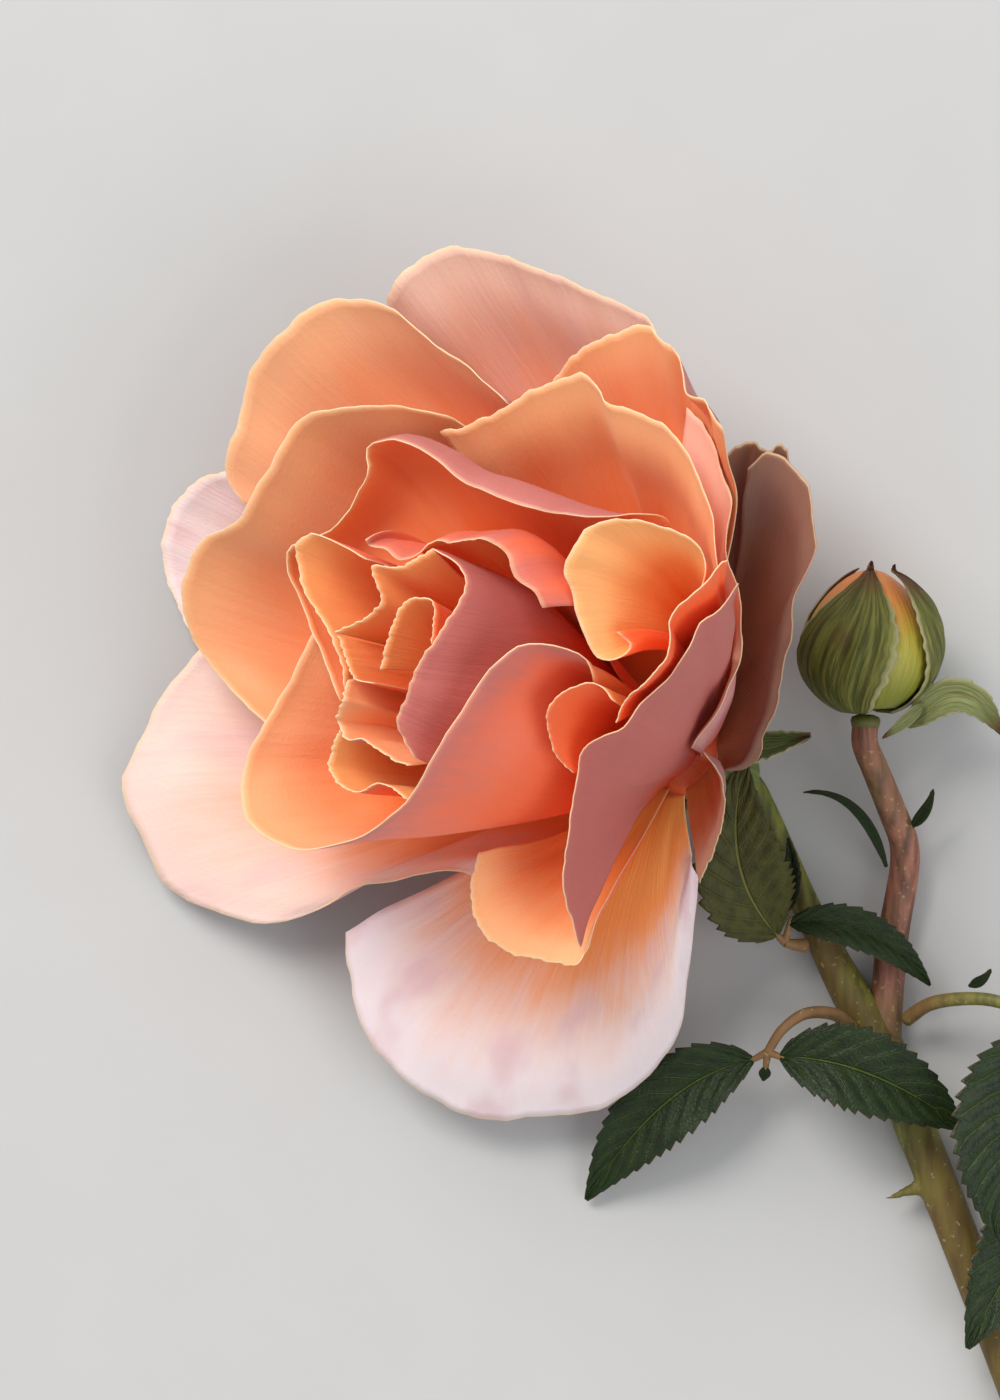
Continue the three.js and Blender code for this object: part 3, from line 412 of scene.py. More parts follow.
# How each petal looks: warmth of the blade, paleness of its margin, painted shade that darkens it
# and mauve on its back, each 0 to 1, then how far its rim rolls out and how much it waves, millimetres.
Look = namedtuple("Look", "warm pale dusk mauve curl wave")
LOOKS = {
    "left_heart": Look(0.7, 0.0, 0.0, 0.1, 0.1, 0.1),
    "left_fold_low": Look(0.7, 0.0, 0.0, 0.1, 0.0, 0.1),
    "left_fold_high": Look(0.5, 0.0, 0.0, 0.1, 0.2, 0.1),
    "left_wall": Look(0.6, 0.0, 0.0, 0.55, 0.4, 0.2),
    "left_lip": Look(0.4, 0.1, 0.0, 0.5, 0.4, 0.2),
    "left_roll": Look(0.2, 0.0, 0.0, 0.2, 0.3, 0.2),
    "left_inner": Look(0.3, 0.0, 0.0, 0.2, 0.4, 0.2),
    "left_rolled_rim": Look(0.6, 0.0, 0.0, 0.25, 0.8, 0.2),
    "right_funnel": Look(0.0, 0.0, 0.0, 0.0, 0.5, 0.2),
    "right_inner": Look(0.3, 0.0, 0.0, 0.1, 0.3, 0.2),
    "upper_cup": Look(0.4, 0.05, 0.0, 0.45, 0.6, 0.4),
    "lower_wrap": Look(0.35, 0.1, 0.0, 0.3, 0.7, 0.4),
    "round_tip": Look(0.0, 0.0, 0.0, 0.0, 0.3, 0.1),
    "lower_right": Look(0.5, 0.0, 0.03, 1.0, 0.5, 0.4),
    "upper_right": Look(0.05, 0.1, 0.0, 0.3, 0.7, 0.4),
    "right_rim": Look(0.2, 0.4, 0.0, 0.95, 0.6, 0.3),
    "top_right": Look(0.2, 0.1, 0.02, 1.0, 0.5, 0.4),
    "left_cup": Look(0.25, 0.1, 0.03, 0.4, 0.8, 0.5),
    "small_front": Look(0.05, 0.1, 0.0, 0.2, 0.5, 0.3),
    "lower_left": Look(0.1, 0.65, 0.02, 0.4, 0.9, 0.7),
    "bottom": Look(0.0, 1.0, 0.0, 0.4, 0.9, 0.8),
    "bottom_fold": Look(0.3, 0.3, 0.45, 1.0, 0.4, 0.2),
    "top_left": Look(0.15, 0.15, 0.02, 0.5, 0.8, 0.6),
    "top": Look(0.15, 0.5, 0.08, 0.6, 0.9, 0.6),
    "left_back": Look(0.0, 0.9, 0.05, 0.5, 0.7, 0.4),
    "right_back": Look(0.0, 0.3, 0.85, 1.0, 0.6, 0.7),
    "right_back_torn": Look(0.0, 0.1, 0.95, 1.0, 0.5, 0.9),
}


def petal_surface(petal, push, look, seed, rows=44, cols=64):
    """The finer petal: the settled fan with a rolled, waving, slightly ragged rim."""
    s, opening, azimuth = petal_fan(petal, rows, cols)
    opening = opening + finer(push, rows + 1, cols + 1)
    v = np.linspace(0, 1, rows + 1)[:, None]
    u = np.linspace(0, 1, cols + 1)[None]
    near_rim = smoothstep(0.72, 1, v)
    roll = -np.sin(math.pi * smoothstep(0.7, 1, v)) * 0.6 + 0.5 * smoothstep(0.88, 1, v)
    wave = wander(seed, u, (2, 3.3, 5.1)) * near_rim + 0.35 * wander(seed + 1, u, (6, 9)) * near_rim**2
    ragged = wander(seed + 2, u, (7, 13, 21)) * smoothstep(0.9, 1, v) * 0.3
    dents = wander(seed + 3, u + 0.3 * v, (1.5, 2.7, 4.2)) * np.sin(math.pi * v) * 0.25
    opening = opening + (look.curl * roll + look.wave * wave + dents) / s
    return from_polar(AXES[petal.about], s + ragged, opening, azimuth)


# ---------------------------------------------------------------- meshes and pieces
def grid_mesh(points, closed=False):
    """A bmesh over a grid of points, whose UV map runs across (U) and along (V)."""
    rows, cols = points.shape[0] - 1, points.shape[1] - 1
    bm = bmesh.new()
    bmesh.ops.create_grid(bm, x_segments=cols, y_segments=rows, size=1)
    layer = bm.loops.layers.uv.new("UVMap")
    for face in bm.faces:
        for loop in face.loops:
            loop[layer].uv = ((loop.vert.co.x + 1) / 2, (loop.vert.co.y + 1) / 2)
    for vert in bm.verts:
        r, c = round((vert.co.y + 1) / 2 * rows), round((vert.co.x + 1) / 2 * cols)
        vert.co = points[r, c]
    if closed:
        bmesh.ops.remove_doubles(bm, verts=bm.verts, dist=1e-6)
        bmesh.ops.recalc_face_normals(bm, faces=bm.faces)
    return bm


def add_piece(name, bm, materials, nodes):
    """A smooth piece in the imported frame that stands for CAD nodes."""
    mesh = bpy.data.meshes.new(name)
    bm.to_mesh(mesh)
    bm.free()
    mesh.shade_smooth()
    for material in materials:
        mesh.materials.append(material)
    piece = bpy.data.objects.new(name, mesh)
    bpy.context.scene.collection.objects.link(piece)
    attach(piece, "root")
    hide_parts(*nodes)
    return piece


def add_wall(piece, thickness, edge=0.35):
    """Gives a sheet its thickness, which thins out to a share of it at the free edge; the other side
    and the edge take the next two materials."""
    group = piece.vertex_groups.new(name="thick")
    for vert in piece.data.vertices:
        group.add([vert.index], 1, "REPLACE")
    for loop, uv in zip(piece.data.loops, piece.data.uv_layers["UVMap"].data):
        u, v = uv.uv
        inside = min(8 * u, 8 * (1 - u), 10 * (1 - v))
        group.add([loop.vertex_index], edge + (1 - edge) * float(smoothstep(0, 1, inside)), "REPLACE")
    wall = piece.modifiers.new("Wall", "SOLIDIFY")
    wall.vertex_group = "thick"
    wall.thickness = thickness
    wall.offset = 0
    wall.material_offset = 1
    wall.material_offset_rim = 2
    return wall


def add_constant(piece, name, values):
    """Four numbers for the whole piece that its materials read by name."""
    attribute = piece.data.attributes.new(name, "FLOAT_COLOR", "POINT")
    attribute.data.foreach_set("color", np.tile(values, len(piece.data.vertices)))


def rod_points(path, radius_at, rows=80, cols=20):
    """Rings around a curve, closed with a point at both ends."""
    middle = curve_through(path, rows + 1)
    along = unit(np.gradient(middle, axis=0))
    side = np.cross(along[0], [0, 0, 1])
    turn = np.linspace(0, 2 * math.pi, cols + 1)[:, None]
    rings = []
    for k, (centre, forward) in enumerate(zip(middle, along)):
        side = unit(side - forward * (side @ forward))
        up = np.cross(side, forward)
        rings.append(centre + radius_at(k / rows) * (np.cos(turn) * side + np.sin(turn) * up))
    ends = [np.tile(middle[0], (cols + 1, 1)), np.tile(middle[-1], (cols + 1, 1))]
    return np.stack([ends[0], *rings, ends[1]])


def turned_points(axes, base, profile, cols=40):
    """A profile of (radius, height) pairs turned around an axis."""
    turn = np.linspace(0, 2 * math.pi, cols + 1)
    radius, height = np.asarray(profile, dtype=float).T
    local = np.stack(
        [
            radius[:, None] * np.cos(turn)[None],
            radius[:, None] * np.sin(turn)[None],
            height[:, None] * np.ones_like(turn)[None],
        ],
        axis=-1,
    )
    return base + local @ axes.T


# ---------------------------------------------------------------- material maths
class Wire:
    """A socket's output; an expression on it adds the Math nodes it needs."""

    def __init__(self, finish, socket):
        self.finish = finish
        self.socket = socket

    def maths(self, operation, *values):
        return self.finish.node("ShaderNodeMath", {"operation": operation}, dict(enumerate(values)))

    def __add__(self, other):
        return self.maths("ADD", self, other)

    __radd__ = __add__

    def __sub__(self, other):
        return self.maths("SUBTRACT", self, other)

    def __rsub__(self, other):
        return self.maths("SUBTRACT", other, self)

    def __mul__(self, other):
        return self.maths("MULTIPLY", self, other)

    __rmul__ = __mul__

    def step(self, low, high):
        """0 below low, 1 above high, and smooth between."""
        return self.finish.node(
            "ShaderNodeMapRange",
            {"interpolation_type": "SMOOTHSTEP"},
            {"Value": self, "From Min": low, "From Max": high},
        )


class Finish:
    """A material and the one method that makes its nodes."""

    def __init__(self, name, **constants):
        self.material = bpy.data.materials.new(name)
        self.material.use_nodes = True
        self.tree = self.material.node_tree
        self.shader = self.tree.nodes["Principled BSDF"]
        for socket, value in constants.items():
            self.shader.inputs[socket.replace("_", " ")].default_value = value

    def node(self, kind, settings=None, inputs=None, output=0):
        made = self.tree.nodes.new(kind)
        for key, value in (settings or {}).items():
            setattr(made, key, value)
        for key, value in (inputs or {}).items():
            if isinstance(value, Wire):
                self.tree.links.new(value.socket, made.inputs[key])
            else:
                made.inputs[key].default_value = value
        return Wire(self, made.outputs[output])

    def feed(self, socket, wire):
        self.tree.links.new(wire.socket, self.shader.inputs[socket])

    def uv(self):
        """Across and along the piece, each 0 to 1."""
        split = self.node("ShaderNodeUVMap", {"uv_map": "UVMap"})
        parts = self.node("ShaderNodeSeparateXYZ", inputs={0: split})
        return parts, Wire(self, parts.socket.node.outputs[1]), split

    def constant(self, name):
        """The four numbers that a piece carries under a name."""
        found = self.node("ShaderNodeAttribute", {"attribute_name": name}, output=1)
        parts = self.node("ShaderNodeSeparateXYZ", inputs={0: found}).socket.node
        return [Wire(self, socket) for socket in (*parts.outputs, found.socket.node.outputs["Alpha"])]

    def place(self):
        return self.node("ShaderNodeTexCoord", output=3)

    def stretched(self, vector, scale):
        return self.node("ShaderNodeMapping", inputs={"Vector": vector, "Scale": scale})

    def noise(self, vector, scale, detail=3.0, roughness=0.5):
        inputs = {"Vector": vector, "Scale": scale, "Detail": detail, "Roughness": roughness}
        return self.node("ShaderNodeTexNoise", inputs=inputs)

    def mix(self, factor, one, other):
        settings = {"data_type": "RGBA"}
        return self.node("ShaderNodeMix", settings, {0: factor, 6: one, 7: other}, output=2)

    def bump(self, height, distance, strength=1.0):
        inputs = {"Height": height, "Distance": distance, "Strength": strength}
        self.feed("Normal", self.node("ShaderNodeBump", inputs=inputs))


def shade(red, green, blue):
    """A colour given as 0 to 255 on screen, as the linear one that a socket takes."""
    screen = np.array([red, green, blue]) / 255
    linear = np.where(screen <= 0.04045, screen / 12.92, ((screen + 0.055) / 1.055) ** 2.4)
    return (*linear, 1.0)


# ---------------------------------------------------------------- finishes
def petal_grain(finish, uv):
    """Fine veins that run from the foot of a petal to its rim, and soft dimples between them."""
    veins = finish.noise(finish.stretched(uv, (70, 5, 1)), 1.0, 3.0)
    cells = finish.noise(finish.stretched(uv, (160, 120, 1)), 1.0, 1.0)
    broad = finish.noise(finish.stretched(uv, (9, 4, 1)), 1.0, 2.0)
    return veins, cells, broad


def petal_inside(colours):
    finish = Finish("petal_inside", Roughness=0.5, Subsurface_Weight=0.12, Subsurface_Scale=0.003)
    finish.shader.inputs["Subsurface Radius"].default_value = (1.0, 0.35, 0.15)
    finish.shader.inputs["Sheen Weight"].default_value = 0.04
    finish.shader.inputs["Specular IOR Level"].default_value = 0.25
    _, along, uv = finish.uv()
    warm, pale, dusk, _ = finish.constant("look")
    veins, cells, broad = petal_grain(finish, uv)
    far = along + (broad - 0.5) * 0.25 + (veins - 0.5) * 0.12
    colour = finish.mix(far.step(0.05, 0.5), colours.foot[:], colours.blade[:])
    colour = finish.mix(far.step(0.5, 1.0), colour, colours.peach[:])
    colour = finish.mix(warm * (1 - 0.45 * far.step(0.5, 1.0)), colour, colours.heart[:])
    colour = finish.mix(pale * far.step(0.42, 0.95), colour, colours.blush[:])
    blotch = pale * 0.5 * broad.step(0.45, 0.7) * far.step(0.5, 0.8)
    colour = finish.mix(blotch, colour, shade(225, 165, 170))
    # Painted shade: petals that lie in shadow are darkened towards a dark brown.
    colour = finish.mix(dusk * 0.95, colour, shade(96, 68, 62))
    # Cream band at the rim: partly the petal's paler edge, partly painted highlight.
    colour = finish.mix(0.55 * along.step(0.988, 0.999), colour, colours.rim[:])
    finish.feed("Base Color", colour)
    finish.feed("Roughness", 0.42 + 0.2 * cells)
    finish.bump(veins * 0.7 + cells * 0.25 + broad * 0.6, 0.0003, 0.5)
    return finish.material


def petal_outside(colours):
    finish = Finish("petal_outside", Roughness=0.5, Subsurface_Weight=0.1, Subsurface_Scale=0.003)
    finish.shader.inputs["Subsurface Radius"].default_value = (1.0, 0.35, 0.2)
    finish.shader.inputs["Sheen Weight"].default_value = 0.06
    finish.shader.inputs["Specular IOR Level"].default_value = 0.25
    _, along, uv = finish.uv()
    _, pale, dusk, mauve = finish.constant("look")
    veins, cells, broad = petal_grain(finish, uv)
    far = along + (broad - 0.5) * 0.3 + (veins - 0.5) * 0.15
    colour = finish.mix(far.step(0.2, 0.9), colours.heart[:], shade(255, 112, 62))
    colour = finish.mix((far + mauve * 1.1 - 1.05).step(0, 0.35), colour, colours.mauve[:])
    colour = finish.mix(pale * far.step(0.3, 0.9), colour, shade(232, 190, 188))
    # Painted shade: the backs of petals that lie in shadow are darkened towards a dark brown.
    colour = finish.mix(dusk * 0.85, colour, shade(92, 58, 58))
    # Cream band at the rim: partly the petal's paler edge, partly painted highlight.
    colour = finish.mix(0.35 * along.step(0.99, 0.999), colour, colours.rim[:])
    finish.feed("Base Color", colour)
    finish.feed("Roughness", 0.42 + 0.2 * cells)
    finish.bump(veins * 0.7 + cells * 0.25 + broad * 0.6, 0.0003, 0.5)
    return finish.material


def petal_edge(colours):
    finish = Finish("petal_edge", Roughness=0.55, Subsurface_Weight=0.1, Subsurface_Scale=0.002)
    _, _, dusk, _ = finish.constant("look")
    uv = finish.uv()[2]
    spots = finish.noise(finish.stretched(uv, (40, 40, 1)), 1.0, 2.0)
    # The edge faces take the cream rim: partly the petal's paler edge, partly painted highlight.
    colour = finish.mix(spots.step(0.5, 0.75) * 0.5, colours.rim[:], shade(214, 160, 120))
    # Painted shade: the edges of petals that lie in shadow are darkened towards brown.
    colour = finish.mix(dusk * 0.8, colour, shade(150, 110, 90))
    finish.feed("Base Color", colour)
    return finish.material


def leaf_face(name, blade, vein, gloss):
    """A leaf's side: a pale midrib, side veins that slant to the edge, and mottling."""
    finish = Finish(name, Roughness=0.45)
    finish.shader.inputs["Specular IOR Level"].default_value = 0.35
    across, along, uv = finish.uv()
    side = (across - 0.5).maths("ABSOLUTE", across - 0.5) * 2
    mottle = finish.noise(finish.stretched(uv, (6, 10, 1)), 1.0, 4.0)
    net = finish.noise(finish.stretched(uv, (30, 60, 1)), 1.0, 2.0)
    slant = (along * 9 - side * 2.2 + mottle * 0.35) * (2 * math.pi)
    ribs = slant.maths("SINE", slant).step(0.9, 1.0)
    middle = 1 - side.step(0.02, 0.06)
    veins = middle.maths("MAXIMUM", middle, ribs * 0.4 * (1 - side.step(0.75, 1.0)))
    colour = finish.mix(mottle.step(0.35, 0.7), blade, [c * 0.55 for c in blade[:3]] + [1])
    colour = finish.mix(veins * 0.6, colour, vein)
    colour = finish.mix(side.step(0.95, 1.0) * 0.45, colour, shade(84, 50, 26))
    finish.feed("Base Color", colour)
    finish.feed("Roughness", gloss + 0.25 * net)
    finish.bump(net * 0.5 - veins * 1.2 + mottle * 0.6, 0.0004, 0.8)
    return finish.material


def sepal_skin(name, blade, light, tip):
    """A sepal's side: lengthwise streaks, a pale downy margin and a brown tip."""
    finish = Finish(name, Roughness=0.5)
    finish.shader.inputs["Specular IOR Level"].default_value = 0.3
    across, along, uv = finish.uv()
    side = (across - 0.5).maths("ABSOLUTE", across - 0.5) * 2
    streak = finish.noise(finish.stretched(uv, (26, 3, 1)), 1.0, 4.0)
    broad = finish.noise(finish.stretched(uv, (4, 3, 1)), 1.0, 2.0)
    down = finish.noise(finish.stretched(uv, (160, 90, 1)), 1.0, 1.0)
    colour = finish.mix(streak.step(0.35, 0.68), blade, light)
    colour = finish.mix(broad.step(0.5, 0.75) * 0.45, colour, tip)
    colour = finish.mix((side + streak * 0.1).step(0.9, 1.04) * 0.6, colour, shade(205, 196, 150))
    colour = finish.mix((along + (streak - 0.5) * 0.3).step(0.72, 0.95) * 0.85, colour, tip)
    finish.feed("Base Color", colour)
    finish.feed("Roughness", 0.42 + 0.25 * down)
    finish.bump(streak * 0.8 + down * 0.3, 0.0004, 0.8)
    return finish.material


def hip_skin():
    """Green skin of the hip; its dome has the colour of the petals that grow from it."""
    finish = Finish("hip_skin", Roughness=0.5)
    _, along, uv = finish.uv()
    streak = finish.noise(finish.stretched(uv, (40, 3, 1)), 1.0, 3.0)
    colour = finish.mix(streak.step(0.3, 0.7), shade(80, 96, 40), shade(118, 130, 62))
    colour = finish.mix((along + (streak - 0.5) * 0.06).step(0.27, 0.34), shade(214, 88, 40), colour)
    finish.feed("Base Color", colour)
    finish.bump(streak, 0.0003, 0.6)
    return finish.material


def stem_skin(name, low, high, blush, roughness=0.5):
    """Skin of the stems: lengthwise streaks, a sunlit blush and small pale dots."""
    finish = Finish(name, Roughness=roughness)
    place = finish.place()
    streak = finish.noise(finish.stretched(place, (900, 120, 900)), 1.0, 3.0)
    broad = finish.noise(place, 45.0, 2.0)
    dots = finish.noise(place, 1400.0, 1.0)
    colour = finish.mix(streak.step(0.3, 0.7), low, high)
    colour = finish.mix(broad.step(0.42, 0.65) * 0.7, colour, blush)
    colour = finish.mix(dots.step(0.66, 0.74) * 0.35, colour, shade(190, 180, 120))
    finish.feed("Base Color", colour)
    finish.feed("Roughness", roughness + 0.15 * streak)
    finish.bump(streak * 0.6 + dots * 0.4, 0.0002, 0.6)
    return finish.material


# ---------------------------------------------------------------- leaves, sepals and bud shapes
Leaflet = namedtuple("Leaflet", "name wide fold roll foot via tip teeth turned", defaults=(15, False))
LEAFLETS = [
    Leaflet("leaflet_behind_bloom", 12, 8, 0, (34.2, -29, 7), (26.2, -20.6, 17), (30, -7.5, 18), turned=True),
    Leaflet("leaflet_edge_on", 3, 30, 20, (35.6, -26, 5.2), (37, -22, 6), (35.6, -17, 6.4), 6),
    Leaflet("leaflet_over_stalk", 5.8, 24, 14, (35.8, -27.6, 7), (46, -26.4, 11), (53.2, -35.3, 5.5)),
    Leaflet("leaflet_lower_left", 10.4, 18, -8, (31.2, -44.4, 8), (20, -46.5, 8), (10.8, -62.2, 0.9)),
    Leaflet("leaflet_lower_middle", 11, 16, 8, (34.6, -44, 9.2), (45, -43.6, 13), (57.4, -53, 8.5)),
    Leaflet("leaflet_stub", 1.6, 20, 0, (32.8, -45.3, 8), (32.7, -46, 8), (32.5, -47, 7.4), 0),
    Leaflet("leaflet_right_upper", 17, 16, 6, (68, -41, 13.5), (61, -50, 16), (62, -67, 12.5), 17),
    Leaflet("leaflet_right_lower", 12, 20, -6, (72.5, -58.5, 7.4), (65, -65, 6.5), (57.8, -80.2, 6.6), 16),
    Leaflet("leaflet_right_tip", 15, 16, 0, (76, -60, 9), (82, -70, 10), (84, -84, 2)),
    Leaflet("leaflet_right_outer", 14, 14, 0, (75, -54, 9.5), (84, -52, 11), (95, -58, 3)),
    Leaflet("bract_left", 1.4, 20, 0, (47.4, -19.2, 5.4), (44.6, -10.6, 9), (37.4, -11.4, 8.6), 0),
    Leaflet("bract_right", 1.6, 20, 0, (51.6, -15, 6.6), (53, -13.6, 8), (53.4, -11, 9), 0),
    Leaflet("bract_fork", 1.4, 20, 0, (58.6, -34.8, 11.6), (59.6, -34.4, 12.6), (60.2, -33, 13), 0),
]
LOOSE_SEPALS = [
    Leaflet("bud_sepal_4", 1.7, 10, 20, (51, -1.4, 12.6), (49.8, -2.6, 13.6), (46.9, -4.7, 13), 0),
    Leaflet("bud_sepal_5", 4.6, 16, 0, (51.4, -2, 10.4), (56.6, 5, 14.6), (62, -4.4, 8), 9),
]


GROWN_IN = {"bract_left": 1.6, "bract_right": 1.2, "bract_fork": 1.2, "bud_sepal_4": 1.5, "bud_sepal_5": 1.8}


def leaflet_surface(leaf, rows=120, cols=28):
    """A blade folded along its midrib, with a toothed edge and a light wave."""
    foot, via, tip = (np.array(p, dtype=float) for p in (leaf.foot, leaf.via, leaf.tip))
    foot = foot + GROWN_IN.get(leaf.name, 0) * unit(foot - via)
    t = np.linspace(0, 1, 200)[:, None]
    bend = (1 - t) ** 2 * foot + 2 * t * (1 - t) * via + t**2 * tip
    length = np.concatenate([[0], np.cumsum(np.linalg.norm(np.diff(bend, axis=0), axis=1))])
    at = np.linspace(0, length[-1], rows + 1)
    middle = np.stack([np.interp(at, length, bend[:, k]) for k in range(3)], axis=1)
    along = unit(np.gradient(middle, axis=0))
    side = unit(np.cross(along, [0, 0, 1]))
    up = np.cross(side, along)
    turn = math.radians(-leaf.roll)
    side, up = side * math.cos(turn) + up * -math.sin(turn), up * math.cos(turn) + side * math.sin(turn)
    v = np.linspace(0, 1, rows + 1)[:, None]
    u = np.linspace(1, -1, cols + 1)[None]
    half = leaf.wide / 2 * (0.04 + 0.96 * np.sin(math.pi * v**0.74) ** 0.92)
    beat = v * leaf.teeth + 0.35 * wander(len(leaf.name), v + 0.3 * np.sign(u), (1.3, 2.9))
    saw = beat % 1 if leaf.teeth else 0.5 + 0 * beat
    tooth = (saw - 0.6) * 0.15 * np.sin(math.pi * v) ** 0.25
    reach = half * u * (1 + tooth * np.abs(u) ** 7)
    fold = math.radians(leaf.fold)
    wave = 0.02 * leaf.wide * wander(len(leaf.name) * 7, v + 0.4 * np.sign(u), (2.2, 3.7)) * np.abs(u)
    quilt = 0.012 * leaf.wide * np.sin(2 * math.pi * (9 * v - 2.2 * np.abs(u))) * np.sin(math.pi * np.abs(u))
    rise = np.abs(reach) * math.sin(fold) * (1.12 - 0.12 * np.abs(u)) + wave + quilt
    out = reach * math.cos(fold)
    return middle[:, None] + out[..., None] * side[:, None] + rise[..., None] * up[:, None]


SEPALS = [
    (8, (128, 122, 118), 15.1),
    (80, (128, 128, 124), 16.9),
    (152, (128, 130, 122), 16),
    (224, (128, 130, 120), 16),
    (282, (132, 138, 136), 11.6),
]
SEPAL_WIDTH = 4.2


def sepal_surface(azimuth, bend, long, rows=40, cols=14):
    """A narrow pointed sepal that spreads under the petals; bend is its opening along it."""
    foot = SEAT_RADIUS + 3 * JOINT_GAP
    v = np.linspace(0, 1, rows + 1)[:, None]
    u = np.linspace(-1, 1, cols + 1)[None]
    s = foot + (long - foot) * v + 0 * u
    opening = bend[0] * (1 - v) ** 2 + 2 * bend[1] * v * (1 - v) + bend[2] * v**2
    half = SEPAL_WIDTH / 2 * np.cos(math.pi / 2 * v * 0.93)
    ragged = 1 + 0.12 * wander(azimuth, v, (5, 8)) * np.abs(u) ** 4
    across = half * u * ragged / (s * np.sin(np.radians(opening)))
    azimuths = math.radians(azimuth) + across
    return from_polar(AXES["bloom"], s, np.radians(opening - 3 * u**2), azimuths) + BLOOM_SEAT


BUD_AXIS = heading(BUD_RISE, BUD_HEADING)
BUD_AXES = frame_along(BUD_AXIS)
BUD_BASE = BUD_SEAT + BUD_AXIS * (BUD_HIP + JOINT_GAP)
BUD_SEPALS = [
    (218, 48, 112, 1.04, 0.5),
    (26, -68, 84, 1.02, 1.9),
    (112, 20, 84, 0.98, 0.6),
]


def bud_radius(z):
    t = np.clip(z / BUD_LENGTH, 0, 1)
    return (BUD_RADIUS - 0.9) * np.maximum(np.sin(math.pi * t**0.86), 0) ** 0.58


def bud_sepal_surface(azimuth, twist, wide, end, lift, rows=70, cols=40):
    """A sepal that clasps the bud and turns round it, with a ragged tip that has let go."""
    start = 0.4
    v = np.linspace(0, 1, rows + 1)[:, None]
    u = np.linspace(-1, 1, cols + 1)[None]
    torn = wander(azimuth, u, (3.1, 5.7)) * smoothstep(0.7, 1, v) * 0.5
    z = start + (BUD_LENGTH * end - start) * v + torn
    spread = math.radians(wide / 2) * np.cos(math.pi / 2 * v**1.6 * 0.94)
    ragged = 1 + 0.05 * wander(azimuth, v, (6, 11)) * np.abs(u) ** 5
    ribs = 0.12 * np.cos(5 * math.pi * u) * np.sin(math.pi * np.clip(v, 0, 1))
    radius = np.maximum(bud_radius(z), 0.9) + JOINT_GAP + 0.45 + lift * v**2 + ribs
    angle = math.radians(azimuth) + math.radians(twist) * v + spread * u * ragged
    local = np.stack([radius * np.cos(angle), radius * np.sin(angle), z], axis=-1)
    return BUD_BASE + local @ BUD_AXES.T


# ---------------------------------------------------------------- stems
FORK = (47.7, -43.5, STEM_RADIUS)
STEM_PATH = [
    FORK, (51.1, -51.9, STEM_RADIUS), (55.2, -62.1, STEM_RADIUS), (58.4, -70.2, STEM_RADIUS),
    (77, -117, STEM_RADIUS), STEM_END,
]
PETIOLES = {
    "leaf_stalk_upper": [(37.6, -30.4, 4.9), (36.6, -30.3, 6), (35.2, -30, 6.6)],
    "leaf_stalk_left": [
        (43.6, -40.6, 5), (41.2, -38.8, 7.6), (37.6, -38.7, 9), (34.8, -40.6, 9.4), (33, -43.4, 8.8)
    ],
    "leaf_stalk_right": [
        (50.4, -39.6, 4.4), (53, -37.6, 7.5), (56.6, -36.8, 10), (61, -37, 12), (67, -39.6, 12.8),
        (71, -47, 11.6), (73.6, -54, 10), (75, -58.4, 9.2),
    ],
}
LEAF_FEET = {
    "leaf_stalk_upper": ["leaflet_behind_bloom", "leaflet_over_stalk"],
    "leaf_stalk_left": ["leaflet_lower_left", "leaflet_lower_middle", "leaflet_stub"],
    "leaf_stalk_right": ["leaflet_right_upper", "leaflet_right_lower", "leaflet_right_tip"],
}
PRICKLES = [(0.13, 195, 5.5), (0.2, 15, 4), (0.38, 160, 5), (0.52, 30, 4.5), (0.7, 200, 5), (0.86, 10, 4)]


def behind_seat(distance):
    return tuple(BLOOM_SEAT - AXES["bloom"][:, 2] * distance)


def bud_point(along):
    return tuple(BUD_SEAT + BUD_AXIS * along)


# ---------------------------------------------------------------- settings
class RoseColours(bpy.types.PropertyGroup):
    """Colours of the petals."""

    foot: FloatVectorProperty(name="Foot", description="Inside of a petal at its foot",
                              subtype="COLOR", size=4, default=shade(255, 172, 84))
    blade: FloatVectorProperty(name="Blade", description="Inside of a petal at its middle",
                               subtype="COLOR", size=4, default=shade(255, 148, 78))
    peach: FloatVectorProperty(name="Peach", description="Inside of a petal near its rim",
                               subtype="COLOR", size=4, default=shade(255, 178, 112))
    heart: FloatVectorProperty(name="Heart", description="Warm coral of the inner petals",
                               subtype="COLOR", size=4, default=shade(255, 92, 32))
    blush: FloatVectorProperty(name="Blush", description="Pale pink margin of the outer petals",
                               subtype="COLOR", size=4, default=shade(250, 228, 228))
    mauve: FloatVectorProperty(name="Mauve", description="Dusty outside of the petals",
                               subtype="COLOR", size=4, default=shade(196, 108, 100))
    # The cream rim is partly the petals' own paler edge, partly a painted highlight where the rim rolls into
    # the light.
    rim: FloatVectorProperty(name="Rim", description="Thin cream rim of every petal",
                             subtype="COLOR", size=4, default=shade(252, 214, 170))


class RoseSizes(bpy.types.PropertyGroup):
    """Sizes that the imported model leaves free."""

    petal: FloatProperty(name="Petal", description="Thickness of a petal", subtype="DISTANCE",
                         unit="LENGTH", default=0.00038, min=0.0001, max=0.0005)
    leaf: FloatProperty(name="Leaf", description="Thickness of a leaf", subtype="DISTANCE",
                        unit="LENGTH", default=0.00045, min=0.0001, max=0.0006)
    weld: FloatProperty(name="Weld", description="Grain at which stems and prickles grow together",
                        subtype="DISTANCE", unit="LENGTH", default=0.00045, min=0.0002, max=0.001)
    lamp: FloatProperty(name="Lamp", description="Power of the main light, in watts", default=16.0,
                        min=0.0, max=200.0)


